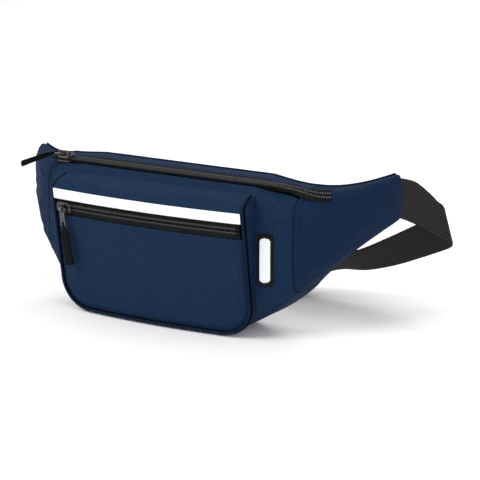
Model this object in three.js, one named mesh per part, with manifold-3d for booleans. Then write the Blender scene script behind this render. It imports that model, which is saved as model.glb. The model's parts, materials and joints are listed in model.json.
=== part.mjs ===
// Waist bag: a main compartment with two wings, a zipped front pocket and a webbing belt that closes
// with a side-release buckle. Millimetres. +X is the wearer's left-to-right line across the bag, +Y
// points back to the wearer, +Z is up. The origin is on the floor, in the middle of the bag's base.
import * as THREE from 'three';
import * as BufferGeometryUtils from 'three/addons/utils/BufferGeometryUtils.js';
import Module from 'manifold-3d';

const wasm = await Module();
wasm.setup();

// ---- driving dimensions --------------------------------------------------------------------------
const gap = 0.4;                 // clearance between neighbouring pieces
const cloth = 1.6;               // thickness of a fabric panel with its coating
const backY = 20;                // plane of the back panel's inner face
const frontY = -22;              // plane of the main compartment's front
const topZ = 116;                // top of the main compartment
const flatHalf = 75;             // half of the length where the bag is straight
const baseHalf = 45;             // half of the length where the base is flat
const seamStation = 0.4;         // where the front panel is sewn to a wing (0 straight, 1 wing tip)
const seamBottomZ = 33;        // height of the wing seam's lower end
const tipTopZ = 115.5;
const tipBottomZ = 80.5;
const dipZ = 6.5;                // how far the top edge dips between the bag and a wing tip
const leftDipZ = 3.5;             // the same on the left wing
const leftDroop = 6;             // the left wing tip hangs this much lower than the right one

const ridgeY = -5;               // line of the main zip
const ridgeZ = 115.6;
const ridgeHalf = 98;            // the main zip is straight from -ridgeHalf to +ridgeHalf
const zipEndStation = 0.62;      // the main zip ends on the right wing
const coilWidth = 2.4;
const coilHeight = 1.8;
const coilSplit = 1.3;           // slot between the two coils, where the slider's wedge runs
const tape = 0.8;                // thickness of zip tape
const sliderHalf = 4.3;          // half width of a zip slider
const sliderLong = 13.5;

const pocketHalf = 84;           // half width of the front pocket
const pocketX = -3;              // the pocket is sewn this far off the bag's middle
const pocketTopZ = 109;
const pocketBottomZ = 1.5;
const pocketCorner = 24;
const stripTopZ = 99.5;
const stripHeight = 8.5;
const frontZipZ = 84.8;          // line of the front zip
const frontZipTape = 6.2;        // visible width of each tape of the front zip

const webbing = 30;              // width of the belt
const webbingThick = 1.6;

// ---- materials ------------------------------------------------------------------------------------
const looks = {
  navy: { color: 0x14233f, roughness: 0.85, metalness: 0 },
  black: { color: 0x161618, roughness: 0.8, metalness: 0 },
  coil: { color: 0x1d1d20, roughness: 0.5, metalness: 0 },
  grey: { color: 0x3a3a3c, roughness: 0.85, metalness: 0 },
  white: { color: 0xf2f3f5, roughness: 0.55, metalness: 0 },
  metal: { color: 0x3b3a3c, roughness: 0.35, metalness: 0.8 },
  plastic: { color: 0x101012, roughness: 0.45, metalness: 0 },
};

const bag = new THREE.Group();

function addPiece(name, geometry, look, parent = bag) {
  const mesh = new THREE.Mesh(geometry, new THREE.MeshStandardMaterial(looks[look]));
  mesh.name = name;
  parent.add(mesh);
  return mesh;
}

// ---- solids from surfaces ---------------------------------------------------------------------------
// A surface is a function (a, b) -> Vector3 with a and b from 0 to 1. A sheet gives it a thickness
// along its normal, a x b, measured inwards (negative) or outwards (positive).
const lerp = THREE.MathUtils.lerp;
const vec = (x, y, z) => new THREE.Vector3(x, y, z);

function normalAt(surface, a, b) {
  const step = 0.004;
  const a0 = Math.max(0, a - step);
  const a1 = Math.min(1, a + step);
  const b0 = Math.max(0, b - step);
  const b1 = Math.min(1, b + step);
  const alongA = surface(a1, b).sub(surface(a0, b));
  const alongB = surface(a, b1).sub(surface(a, b0));
  return alongA.cross(alongB).normalize();
}

// Turns a closed mesh the right way round, whichever way its surface was walked.
function facingOut(geometry) {
  const p = geometry.attributes.position;
  const index = geometry.index.array;
  let volume = 0;
  const corner = (k) => vec(p.getX(k), p.getY(k), p.getZ(k));
  for (let k = 0; k < index.length; k += 3) {
    volume += corner(index[k]).dot(corner(index[k + 1]).cross(corner(index[k + 2])));
  }
  if (volume < 0) {
    for (let k = 0; k < index.length; k += 3) {
      [index[k + 1], index[k + 2]] = [index[k + 2], index[k + 1]];
    }
  }
  return geometry;
}

function closedGrid(outer, inner, columns, rows) {
  const positions = [];
  const index = [];
  for (const side of [outer, inner]) {
    for (let i = 0; i <= columns; i += 1) {
      for (let j = 0; j <= rows; j += 1) {
        positions.push(...side(i, j).toArray());
      }
    }
  }
  const layer = (columns + 1) * (rows + 1);
  const at = (side, i, j) => side * layer + i * (rows + 1) + j;
  const quad = (p, q, r, s) => index.push(p, q, r, p, r, s);
  for (let i = 0; i < columns; i += 1) {
    for (let j = 0; j < rows; j += 1) {
      quad(at(0, i, j), at(0, i + 1, j), at(0, i + 1, j + 1), at(0, i, j + 1));
      quad(at(1, i, j), at(1, i, j + 1), at(1, i + 1, j + 1), at(1, i + 1, j));
    }
  }
  for (let i = 0; i < columns; i += 1) {
    quad(at(0, i, 0), at(1, i, 0), at(1, i + 1, 0), at(0, i + 1, 0));
    quad(at(0, i + 1, rows), at(1, i + 1, rows), at(1, i, rows), at(0, i, rows));
  }
  for (let j = 0; j < rows; j += 1) {
    quad(at(0, 0, j + 1), at(1, 0, j + 1), at(1, 0, j), at(0, 0, j));
    quad(at(0, columns, j), at(1, columns, j), at(1, columns, j + 1), at(0, columns, j + 1));
  }
  const geometry = new THREE.BufferGeometry();
  geometry.setAttribute('position', new THREE.Float32BufferAttribute(positions, 3));
  geometry.setIndex(index);
  return facingOut(geometry);
}

function sheet(surface, columns, rows, thickness, lift = 0) {
  const offset = (distance) => (i, j) => {
    const a = i / columns;
    const b = j / rows;
    return surface(a, b).addScaledVector(normalAt(surface, a, b), distance);
  };
  return closedGrid(offset(lift), offset(lift - thickness), columns, rows);
}

// ---- booleans -----------------------------------------------------------------------------------------
function toManifold(geometry) {
  const bare = geometry.clone();
  bare.deleteAttribute('normal');
  bare.deleteAttribute('uv');
  const merged = BufferGeometryUtils.mergeVertices(bare, 1e-4);
  return new wasm.Manifold(new wasm.Mesh({
    numProp: 3,
    vertProperties: Float32Array.from(merged.attributes.position.array),
    triVerts: Uint32Array.from(merged.index.array),
  }));
}

function fromManifold(solid) {
  const mesh = solid.getMesh();
  const geometry = new THREE.BufferGeometry();
  geometry.setAttribute('position', new THREE.BufferAttribute(mesh.vertProperties, 3));
  geometry.setIndex(new THREE.BufferAttribute(mesh.triVerts, 1));
  return geometry;
}

const join = (...parts) => fromManifold(parts.map(toManifold).reduce((a, b) => a.add(b)));
function cut(body, ...tools) {
  return fromManifold(tools.map(toManifold).reduce((a, b) => a.subtract(b), toManifold(body)));
}

function block(low, high) {
  const size = high.map((value, axis) => value - low[axis]);
  const geometry = new THREE.BoxGeometry(...size);
  return geometry.translate(...low.map((value, axis) => value + size[axis] / 2));
}

// ---- the bag's skin -------------------------------------------------------------------------------------
// A station runs along the bag: -1 left wing tip, -wing..wing across the middle, +1 right wing tip.
// For |station| under 1 the first part of the range is the straight middle.
const wingPlan = {
  right: {
    front: [[flatHalf, frontY], [100, frontY], [131, 1], [157.5, 67]],
    back: [[flatHalf, backY], [103, backY], [129, 39], [151.6, 69.4]],
  },
  left: {
    front: [[flatHalf, frontY], [100, frontY], [134, 1], [158.5, 46]],
    back: [[flatHalf, backY], [103, backY], [127, 28.5], [153.3, 50]],
  },
};

function bezier(points, t) {
  const s = 1 - t;
  const weights = [s * s * s, 3 * s * s * t, 3 * s * t * t, t * t * t];
  return [0, 1].map((axis) => weights.reduce((sum, w, k) => sum + w * points[k][axis], 0));
}

// A place along the bag: { x } in the straight middle, { w } from 0 to 1 along a wing.
const middle = (x) => ({ side: Math.sign(x) || 1, w: 0, x });
const wing = (side, w) => ({ side, w, x: side * flatHalf });

function planAt(place) {
  if (place.w === 0) {
    return { front: [place.x, frontY], back: [place.x, backY] };
  }
  const plan = place.side > 0 ? wingPlan.right : wingPlan.left;
  const front = bezier(plan.front, place.w);
  const back = bezier(plan.back, place.w);
  return { front: [place.side * front[0], front[1]], back: [place.side * back[0], back[1]] };
}

function bottomAt(place) {
  const reach = Math.abs(planAt(place).front[0]);
  const seamReach = bezier(wingPlan.right.front, seamStation)[0];
  if (place.w <= seamStation) {
    const rise = Math.max(0, reach - baseHalf) / (seamReach - baseHalf);
    return seamBottomZ * rise ** 1.8;
  }
  const along = (place.w - seamStation) / (1 - seamStation);
  return lerp(seamBottomZ, tipBottomZ, along ** 0.87) - droopAt(place);
}

function topAt(place) {
  const dip = place.side > 0 ? dipZ : leftDipZ;
  const edge = lerp(topZ, tipTopZ, place.w) - dip * Math.sin(Math.PI * place.w ** 1.15);
  return edge - droopAt(place);
}

function droopAt(place) {
  if (place.side > 0 || place.w <= seamStation) {
    return 0;
  }
  return leftDroop * ((place.w - seamStation) / (1 - seamStation)) ** 0.8;
}

// The section across the bag is a D: flat at the back, rounded corners at the front. It is followed
// from the top of the back (0) over the front to the bottom of the back (1).
const flatTop = 1.02;
const flatBottom = 1.03;

function sectionPoint(place, angle) {
  const { front, back } = planAt(place);
  const upperPower = 4;
  const lowerPower = lerp(7, 3.6, Math.min(1, place.w * 1.5));
  const power = angle > 0 ? upperPower : lowerPower;
  const depth = Math.max(0, Math.cos(angle)) ** (2 / power);
  const rise = Math.min(1, (angle > 0 ? flatTop : flatBottom) * Math.abs(Math.sin(angle)) ** (2 / power));
  const low = bottomAt(place);
  const high = topAt(place);
  const z = (low + high) / 2 + (Math.sign(angle) * rise * (high - low)) / 2;
  return vec(lerp(back[0], front[0], depth), lerp(back[1], front[1], depth), z);
}

const sectionSteps = 160;
const sectionCache = new Map();

function sectionLine(place) {
  const key = `${place.side}/${place.w.toFixed(6)}/${place.x.toFixed(4)}`;
  if (!sectionCache.has(key)) {
    const points = [];
    for (let k = 0; k <= sectionSteps; k += 1) {
      const t = 1 - (2 * k) / sectionSteps;
      const warped = Math.sign(t) * (1 - (1 - Math.abs(t)) ** 2) * (0.35 + 0.65 * Math.abs(t));
      points.push(sectionPoint(place, (warped * Math.PI) / 2));
    }
    const lengths = [0];
    for (let k = 1; k < points.length; k += 1) {
      lengths.push(lengths[k - 1] + points[k].distanceTo(points[k - 1]));
    }
    sectionCache.set(key, { points, lengths });
  }
  return sectionCache.get(key);
}

// Point at a distance along the section, measured from the top of the back.
function skinPoint(place, distance) {
  const { points, lengths } = sectionLine(place);
  const total = lengths[lengths.length - 1];
  const target = THREE.MathUtils.clamp(distance, 0, total);
  let k = 1;
  while (k < lengths.length - 1 && lengths[k] < target) {
    k += 1;
  }
  const share = (target - lengths[k - 1]) / Math.max(1e-9, lengths[k] - lengths[k - 1]);
  return points[k - 1].clone().lerp(points[k], share);
}

const girth = (place) => sectionLine(place).lengths[sectionSteps];

// Distance along the section to the point that lies a given way in front of the back plane.
function distanceAtDepth(place, depthShare, upper) {
  const { points, lengths } = sectionLine(place);
  const { front, back } = planAt(place);
  const full = Math.hypot(front[0] - back[0], front[1] - back[1]);
  const shareOf = (p) => Math.hypot(p.x - back[0], p.y - back[1]) / full;
  const order = points.map((_, k) => k);
  const wanted = upper ? order : order.reverse();
  const found = wanted.find((k) => shareOf(points[k]) >= depthShare);
  return lengths[found];
}

// Stations shared by every panel, so that neighbouring panels run side by side.
const straightSteps = 8;
const cornerSteps = 4;

function seamToSeam() {
  const places = [];
  for (let k = 0; k < cornerSteps; k += 1) {
    places.push(wing(-1, seamStation * (1 - k / cornerSteps)));
  }
  for (let k = 0; k <= straightSteps; k += 1) {
    places.push(middle(lerp(-flatHalf, flatHalf, k / straightSteps)));
  }
  for (let k = 1; k <= cornerSteps; k += 1) {
    places.push(wing(1, (seamStation * k) / cornerSteps));
  }
  return places;
}

// ---- lines of the main zip --------------------------------------------------------------------------------
const tapeFrontShare = 0.7;      // the front tape's lower edge, as a share of the depth
const tapeBackShare = 0.36;      // the back tape's rear edge
const zipStartStation = 0.39;    // the main zip starts at the bag's left corner

// Past the right seam the zip slides down the face of the wing.
function zipSlide(place) {
  return place.side > 0 ? 9 * THREE.MathUtils.smoothstep(place.w, 0.25, zipEndStation) : 0;
}

// Round the bag's left corner the front tape widens, because the zip stays straight there.
function frontShare(place) {
  const corner = place.side < 0 ? THREE.MathUtils.smoothstep(place.w, 0.02, 0.3) : 0;
  return lerp(tapeFrontShare, 0.88, corner);
}

const frontEdge = (place) => distanceAtDepth(place, frontShare(place), true) + zipSlide(place);
const backEdge = (place) => distanceAtDepth(place, tapeBackShare, true) + zipSlide(place);

// The zip lies flush between the panels and climbs onto the right wing past the seam.
function zipLift(place) {
  return place.side > 0 ? 1.7 * THREE.MathUtils.smoothstep(place.w, 0.22, 0.36) : 0;
}

function skinNormal(place, distance) {
  const { front, back } = planAt(place);
  const out = vec(front[0] - back[0], front[1] - back[1], 0).normalize();
  const along = skinPoint(place, distance + 0.5).sub(skinPoint(place, distance - 0.5));
  const forward = along.dot(out);
  return out.multiplyScalar(-along.z).add(vec(0, 0, forward)).normalize();
}

function liftedSkin(place, distance) {
  const point = skinPoint(place, distance);
  return point.addScaledVector(skinNormal(place, distance), zipLift(place));
}

function ridgePoint(place) {
  const { front } = planAt(place);
  const straight = vec(front[0], ridgeY, ridgeZ);
  if (place.side < 0 || place.w < 0.2) {
    return straight;
  }
  const crown = liftedSkin(place, (frontEdge(place) + backEdge(place)) / 2);
  return straight.lerp(crown, THREE.MathUtils.smoothstep(place.w, 0.2, 0.42));
}

// Frame of the zip at a place: across points to the front tape, up points out of the bag.
function ridgeFrame(place) {
  const origin = ridgePoint(place);
  const tilt = THREE.MathUtils.degToRad(12);
  const straight = vec(0, -Math.cos(tilt), -Math.sin(tilt));
  const wrapped = liftedSkin(place, frontEdge(place)).sub(liftedSkin(place, backEdge(place))).normalize();
  const share = place.side > 0 ? THREE.MathUtils.smoothstep(place.w, 0.2, 0.42) : 0;
  const across = straight.lerp(wrapped, share).normalize();
  return { origin, across };
}

// ---- main compartment -----------------------------------------------------------------------------------
const stations = seamToSeam();
const baseShare = 0.84;          // the base reaches this share of the depth
const baseEdge = (place) => distanceAtDepth(place, baseShare, false);

// A panel that follows the skin between two lines, given as distances along each section.
function skinPanel(places, from, to, rows, thickness = cloth) {
  const point = (i, j) => {
    const place = places[i];
    return skinPoint(place, lerp(from(place), to(place), j / rows));
  };
  const outward = (i, j) => {
    const i0 = Math.max(0, i - 1);
    const i1 = Math.min(places.length - 1, i + 1);
    const j0 = Math.max(0, j - 0.02);
    const j1 = Math.min(rows, j + 0.02);
    const alongA = point(i1, j).sub(point(i0, j));
    const alongB = point(i, j1).sub(point(i, j0));
    return alongB.cross(alongA).normalize();
  };
  const layer = (distance) => (i, j) => {
    const column = places.length - 1 - i;
    return point(column, j).addScaledVector(outward(column, j), distance);
  };
  return closedGrid(layer(0), layer(-thickness), places.length - 1, rows);
}

function frontPanel() {
  return skinPanel(stations, (p) => frontEdge(p) + gap, (p) => baseEdge(p) - gap, 9);
}

function bottomPanel() {
  return skinPanel(stations, (p) => baseEdge(p) + gap, (p) => girth(p) - 0.8, 3);
}

function topStrip() {
  return skinPanel(stations, () => 0.8, (p) => backEdge(p) - gap, 2);
}

function wingPanel(side) {
  const places = [];
  const first = seamStation + 0.012;
  const steps = 7;
  for (let k = 0; k <= steps; k += 1) {
    places.push(wing(side, lerp(first, 1, k / steps)));
  }
  const ordered = side > 0 ? places : places.reverse();
  return skinPanel(ordered, () => 1.2, (p) => girth(p) - 1.2, 10);
}

function backPanel() {
  const places = [];
  const steps = 8;
  for (let k = 0; k < steps; k += 1) {
    places.push(wing(-1, 1 - k / steps));
  }
  for (let k = 0; k <= 4; k += 1) {
    places.push(middle(lerp(-flatHalf, flatHalf, k / 4)));
  }
  for (let k = 1; k <= steps; k += 1) {
    places.push(wing(1, k / steps));
  }
  const rows = 3;
  const point = (i, j) => {
    const place = places[i];
    const { back } = planAt(place);
    return vec(back[0], back[1], lerp(bottomAt(place), topAt(place), j / rows));
  };
  const behind = (i) => {
    const ends = [Math.max(0, i - 1), Math.min(places.length - 1, i + 1)];
    const [p, q] = ends.map((k) => planAt(places[k]).back);
    return vec(p[1] - q[1], q[0] - p[0], 0).normalize();
  };
  const layer = (distance) => (i, j) => point(i, j).addScaledVector(behind(i), distance);
  return closedGrid(layer(gap + cloth), layer(gap), places.length - 1, rows);
}

addPiece('front_panel', frontPanel(), 'navy');
addPiece('bottom_panel', bottomPanel(), 'navy');
addPiece('top_back_strip', topStrip(), 'navy');
addPiece('right_wing_panel', wingPanel(1), 'navy');
addPiece('left_wing_panel', wingPanel(-1), 'navy');
addPiece('back_panel', backPanel(), 'navy');

// ---- main zip -----------------------------------------------------------------------------------------
function zipPlaces(from, to) {
  const places = [wing(-1, from)];
  places.push(...stations.filter((p) => p.w < seamStation && !(p.side < 0 && p.w >= from)));
  const past = [0.4, 0.45, 0.5, 0.56, to];
  places.push(...past.map((w) => wing(1, w)));
  return places;
}

const zipStations = zipPlaces(zipStartStation, zipEndStation);
const coilInner = coilSplit / 2;
const coilOuter = coilInner + coilWidth;

// Square frames along the zip: along follows the zip, across points to the front, out leaves the bag.
function framesAlong(places) {
  const rough = places.map(ridgeFrame);
  return rough.map(({ origin, across }, i) => {
    const before = rough[Math.max(0, i - 1)].origin;
    const after = rough[Math.min(rough.length - 1, i + 1)].origin;
    const along = after.clone().sub(before).normalize();
    const level = across.clone().addScaledVector(along, -across.dot(along)).normalize();
    return { origin, along, across: level, out: level.clone().cross(along).normalize() };
  });
}

const zipFrames = framesAlong(zipStations);

function onFrame(frame, across, out) {
  return frame.origin.clone().addScaledVector(frame.across, across).addScaledVector(frame.out, out);
}

// A bar of rectangular section along the zip.
function zipBar(frames, nearAcross, farAcross, halfHeight) {
  const layer = (out) => (i, j) => onFrame(frames[i], j === 0 ? nearAcross : farAcross, out);
  return closedGrid(layer(halfHeight), layer(-halfHeight), frames.length - 1, 1);
}

// Each tape lies flat under the slider and then bends down to where it is sewn.
function mainTape(front) {
  const side = front ? 1 : -1;
  const line = zipStations.map((place, i) => {
    const edge = front ? frontEdge(place) - gap : backEdge(place) + gap;
    const frame = zipFrames[i];
    const flatPart = [coilOuter + gap, sliderHalf + 0.7].map((offset) => onFrame(frame, side * offset, 0));
    const sewn = liftedSkin(place, edge).addScaledVector(skinNormal(place, edge), front ? 0.6 : 0);
    return [...flatPart, sewn];
  });
  const outward = (i, j) => {
    const way = line[i][Math.min(2, j + 1)].clone().sub(line[i][Math.max(0, j - 1)]);
    return way.cross(zipFrames[i].along).multiplyScalar(side).normalize();
  };
  const layer = (out) => (i, j) => line[i][j].clone().addScaledVector(outward(i, j), out);
  return closedGrid(layer(tape / 2), layer(-tape / 2), zipStations.length - 1, 2);
}

const chainFrames = zipFrames.filter((_, i) => !(zipStations[i].side < 0 && zipStations[i].w > 0.26));
const halfCoil = coilHeight / 2;
addPiece('main_zip_tape_front', mainTape(true), 'black');
addPiece('main_zip_tape_back', mainTape(false), 'black');
addPiece('main_zip_coil_front', zipBar(chainFrames, coilInner, coilOuter, halfCoil), 'coil');
addPiece('main_zip_coil_back', zipBar(chainFrames, -coilOuter, -coilInner, halfCoil), 'coil');

// ---- zip sliders and pulls ------------------------------------------------------------------------------
// A slider is drawn in its own frame: x along the zip towards the closed side, y across, z outwards.
const plateNear = halfCoil + 0.5;        // the plates clear the coils by half a millimetre
const plateFar = plateNear + 0.9;
const archTop = plateFar + 2.8;
const archBar = 0.9;                     // thickness of the bar over the arch
const archHalf = 4;
const archBarMid = archTop - archBar / 2;

function roundedPlate(length, width, corner, thickness) {
  const outline = new THREE.Shape();
  const [x, y] = [length / 2, width / 2];
  outline.moveTo(-x + corner, -y);
  outline.lineTo(x - corner, -y);
  outline.absarc(x - corner, -y + corner, corner, -Math.PI / 2, 0, false);
  outline.absarc(x - corner, y - corner, corner, 0, Math.PI / 2, false);
  outline.absarc(-x + corner, y - corner, corner, Math.PI / 2, Math.PI, false);
  outline.absarc(-x + corner, -y + corner, corner, Math.PI, 1.5 * Math.PI, false);
  return new THREE.ExtrudeGeometry(outline, { depth: thickness, bevelEnabled: false, curveSegments: 5 });
}

function sliderBody() {
  const plate = () => roundedPlate(sliderLong, 2 * sliderHalf, 3.2, plateFar - plateNear);
  const upper = plate().translate(0, 0, plateNear);
  const lower = plate().translate(0, 0, -plateFar);
  const wedge = block(
    [-sliderLong / 2 + 0.8, -0.35, -plateNear - 0.2],
    [-sliderLong / 2 + 3.4, 0.35, plateNear + 0.2],
  );
  const flanges = [-1, 1].map((side) => {
    const y = [side * (sliderHalf - 0.55), side * sliderHalf].sort((a, b) => a - b);
    return block([-3.4, y[0], tape / 2 + 0.4], [3.4, y[1], plateNear + 0.2]);
  });
  const arch = cut(
    block([-archHalf, -0.7, plateFar - 0.2], [archHalf, 0.7, archTop]),
    block([-archHalf + 0.9, -2, plateFar], [archHalf - 0.9, 2, archTop - archBar]),
  );
  return join(upper, lower, wedge, ...flanges, arch);
}

// The main slider's pull: a cross bar under the arch, two arms past it and an eye for the ribbon.
const pinDrop = 0.55;
const mainPinZ = archTop - archBar - pinDrop - 0.35;
const mainPullLong = 8.5;

function crossBar(radius, length, x) {
  return new THREE.CylinderGeometry(radius, radius, length, 10).translate(x, 0, 0);
}

function mainPull() {
  const arms = [-1, 1].map((side) => {
    const y = [side * 1.25, side * 2.2].sort((a, b) => a - b);
    return block([-mainPullLong, y[0], -0.5], [0.3, y[1], 0.5]);
  });
  const neck = block([-mainPullLong + 2.6, -1.5, -0.5], [-5.1, 1.5, 0.5]);
  return join(...arms, neck, crossBar(0.45, 3.4, 0), crossBar(0.5, 3.4, -mainPullLong + 0.4));
}

// A pull ribbon is a folded tape; its loop goes round the pull's end bar, which is its local y.
const loopHole = 0.85;
const loopRadius = 1.3;
const ribbonThick = 1.6;
const ribbonNeck = 0.6;          // half width where the tape leaves the loop

const loopCylinder = (radius, length) => new THREE.CylinderGeometry(radius, radius, length, 14);

// The folded tape, from its narrow neck at x = 0.6 out to its cut end at x = length.
function ribbonTape(length, width, shoulder) {
  const outline = new THREE.Shape();
  outline.moveTo(0.6, -ribbonNeck);
  outline.lineTo(2.4, -ribbonNeck);
  outline.lineTo(shoulder, -width / 2);
  outline.lineTo(length - 1.5, -width / 2);
  outline.lineTo(length, 0);
  outline.lineTo(length - 1.5, width / 2);
  outline.lineTo(shoulder, width / 2);
  outline.lineTo(2.4, ribbonNeck);
  outline.lineTo(0.6, ribbonNeck);
  const tapeShape = new THREE.ExtrudeGeometry(outline, { depth: ribbonThick, bevelEnabled: false });
  return tapeShape.translate(0, 0, -ribbonThick / 2);
}

// The loop and the tape each have a frame of their own, since the ribbon can twist at its neck.
function pullRibbon(loopFrame, tapeFrame, length, width, shoulder) {
  const loop = placed(loopCylinder(loopRadius, 2), ...loopFrame);
  const hole = placed(loopCylinder(loopHole, 4), ...loopFrame);
  return cut(join(loop, placed(ribbonTape(length, width, shoulder), ...tapeFrame)), hole);
}

// Places a geometry drawn in a local frame: columns are the local axes in the bag's frame.
function placed(geometry, origin, xAxis, yAxis, zAxis) {
  const matrix = new THREE.Matrix4().makeBasis(xAxis, yAxis, zAxis).setPosition(origin);
  return geometry.applyMatrix4(matrix);
}

const mainSliderX = -95.5;
const mainTilt = THREE.MathUtils.degToRad(12);
const zipOut = vec(0, -Math.sin(mainTilt), Math.cos(mainTilt));
const zipAcross = vec(0, Math.cos(mainTilt), Math.sin(mainTilt));
const mainSliderAt = vec(mainSliderX, ridgeY, ridgeZ);
const alongBag = vec(1, 0, 0);

function withAxes(origin, direction, side) {
  const x = direction.clone().normalize();
  const z = x.clone().cross(side).normalize();
  return [origin, x, z.clone().cross(x).normalize(), z];
}

addPiece('main_slider', placed(sliderBody(), mainSliderAt, alongBag, zipAcross, zipOut), 'metal');

const mainPin = mainSliderAt.clone().addScaledVector(alongBag, -0.6).addScaledVector(zipOut, mainPinZ);
const mainPullDrop = THREE.MathUtils.degToRad(2);
const mainPullWay = alongBag.clone().multiplyScalar(-Math.cos(mainPullDrop))
  .addScaledVector(zipOut, -Math.sin(mainPullDrop));
const [, pullX, pullY, pullZ] = withAxes(mainPin, mainPullWay.clone().negate(), zipAcross);
addPiece('main_pull_tab', placed(mainPull(), mainPin, pullX, pullY, pullZ), 'metal');

// The ribbon twists at its neck and sticks out over the front edge, clear of the bag's top.
const mainEye = mainPin.clone().addScaledVector(mainPullWay, mainPullLong - 0.4);
const mainLoop = withAxes(mainEye, mainPullWay, zipAcross);
const ribbonWay = vec(-0.55, -0.8, -0.22);
const mainTapeFrame = withAxes(mainEye, ribbonWay, vec(0.69, -0.61, 0.38));
addPiece('main_pull_ribbon', pullRibbon(mainLoop, mainTapeFrame, 30, 7.5, 9), 'black');

// ---- front pocket ----------------------------------------------------------------------------------------
// The face leans back towards the bag as it goes down, bows forward in the middle, and above the
// white strip it turns in to meet the main compartment.
const faceTopY = -38;
const faceLean = 0.152;
const faceBow = 5;
const bowRadius = (pocketHalf ** 2 + faceBow ** 2) / (2 * faceBow);

const bowAt = (x) => Math.sqrt(bowRadius ** 2 - x ** 2) - bowRadius + faceBow;

// The front of the main compartment at a height.
function frontSkin(place, z) {
  const { points } = sectionLine(place);
  const height = Math.max(z, bottomAt(place) + 1);
  const half = sectionSteps / 2;
  const start = Math.round(half * 0.3);
  const after = points.findIndex((p, k) => k > start && p.z <= height);
  const [p, q] = [points[after - 1], points[after]];
  const share = (p.z - height) / Math.max(1e-9, p.z - q.z);
  return p.clone().lerp(q, THREE.MathUtils.clamp(share, 0, 1));
}

function placeAt(x) {
  const past = Math.abs(x) - flatHalf;
  return past <= 0 ? middle(x) : wing(Math.sign(x), past / 76);
}

// Below, x is counted from the pocket's own middle.
const mainFrontY = (x, z) => frontSkin(placeAt(x + pocketX), z).y;

function faceY(x, z) {
  const belly = 1 + 0.3 * THREE.MathUtils.smoothstep(frontZipZ - 8 - z, 0, 40);
  const low = Math.min(z, stripTopZ);
  const lean = faceTopY + faceLean * (100 - low) - bowAt(x) * belly;
  if (z <= stripTopZ) {
    return lean;
  }
  const up = (z - stripTopZ) / (pocketTopZ - stripTopZ);
  return lerp(lean, mainFrontY(x, pocketTopZ - 0.5) - 2.2, up ** 1.5);
}

// Half width of the pocket at a height: rounded lower corners, drawn in a little at the top.
function pocketWidth(z, inset = 0) {
  const half = pocketHalf - inset;
  const low = pocketBottomZ + inset;
  const corner = pocketCorner - inset;
  if (z < low + corner) {
    const rise = Math.max(0, low + corner - z);
    return half - corner + Math.sqrt(Math.max(0, corner ** 2 - rise ** 2));
  }
  const up = Math.max(0, z - stripTopZ) / (pocketTopZ - stripTopZ);
  return half - 6 * up ** 1.3;
}

// The pocket's pieces share one group, because the pocket sits a little off the bag's middle.
const pocket = new THREE.Group();
pocket.position.x = pocketX;
bag.add(pocket);

const pocketColumns = 12;

// A piece of the pocket's face between two heights; lift moves it forward.
function facePanel(lowZ, highZ, rows, thickness, lift = 0, inset = 2.4, ease = 1) {
  const surface = (a, b) => {
    const z = lerp(lowZ, highZ, b ** ease);
    const x = lerp(-1, 1, a) * pocketWidth(z, inset);
    return vec(x, faceY(x, z), z);
  };
  return sheet(surface, pocketColumns, rows, thickness, lift);
}

const frontCoil = { inner: coilInner, outer: coilInner + 2.2 };
const faceUp = vec(0, -faceLean, 1).normalize();
const tapeLowZ = frontZipZ - frontZipTape;
const tapeHighZ = frontZipZ + frontZipTape;
const coilReach = frontCoil.outer * faceUp.z;

const faceLower = facePanel(pocketBottomZ + 2.4, tapeLowZ - gap, 9, cloth, 0, 2.4, 1.35);
addPiece('pocket_face_lower', faceLower, 'navy', pocket);
const tapeLower = facePanel(tapeLowZ, frontZipZ - coilReach - gap, 1, tape, -0.4);
addPiece('front_zip_tape_lower', tapeLower, 'black', pocket);
const tapeUpper = facePanel(frontZipZ + coilReach + gap, tapeHighZ, 1, tape, -0.4);
addPiece('front_zip_tape_upper', tapeUpper, 'black', pocket);
addPiece('pocket_face_upper', facePanel(tapeHighZ + gap, pocketTopZ, 5, cloth), 'navy', pocket);
const strip = facePanel(stripTopZ - stripHeight + 0.3, stripTopZ - 0.4, 1, 0.5, 0.9);
addPiece('reflective_strip', strip, 'white', pocket);

function frontCoilBar(side) {
  const reach = pocketHalf - 5;
  const point = (a) => {
    const x = lerp(-reach, reach, a);
    return vec(x, faceY(x, frontZipZ), frontZipZ);
  };
  const corner = (height, depth) => (i, j) => {
    const a = i / pocketColumns;
    const centre = point(a);
    const slope = centre.x / bowRadius;
    const out = vec(slope, -1, -faceLean).normalize();
    const offset = j === 0 ? frontCoil.inner : frontCoil.outer;
    return centre.addScaledVector(faceUp, side * offset * height).addScaledVector(out, depth - 0.8);
  };
  return closedGrid(corner(1, halfCoil), corner(1, -halfCoil), pocketColumns, 1);
}

addPiece('front_zip_coil_lower', frontCoilBar(-1), 'coil', pocket);
addPiece('front_zip_coil_upper', frontCoilBar(1), 'coil', pocket);

// Front slider, its frame turned along the bow of the zip.
const frontSliderX = -72.5;
const frontTurn = Math.asin(frontSliderX / bowRadius);
const frontAlong = vec(Math.cos(frontTurn), Math.sin(frontTurn), 0);
const frontOutLevel = vec(Math.sin(frontTurn), -Math.cos(frontTurn), 0);
const leanAngle = Math.atan(faceLean);
const frontOut = frontOutLevel.clone()
  .multiplyScalar(Math.cos(leanAngle))
  .add(vec(0, 0, -Math.sin(leanAngle)));
const frontAcross = frontOut.clone().cross(frontAlong);
const frontSliderAt = vec(frontSliderX, faceY(frontSliderX, frontZipZ), frontZipZ)
  .addScaledVector(frontOut, -0.8);
const frontSlider = placed(sliderBody(), frontSliderAt, frontAlong, frontAcross, frontOut);
addPiece('front_slider', frontSlider, 'metal', pocket);

// The front pull hangs from the arch's bar by a ring; x runs down its length, y along the bar.
const ringInner = 1.15;
const ringOuter = 1.95;
const frontPullLong = 13.5;

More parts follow.
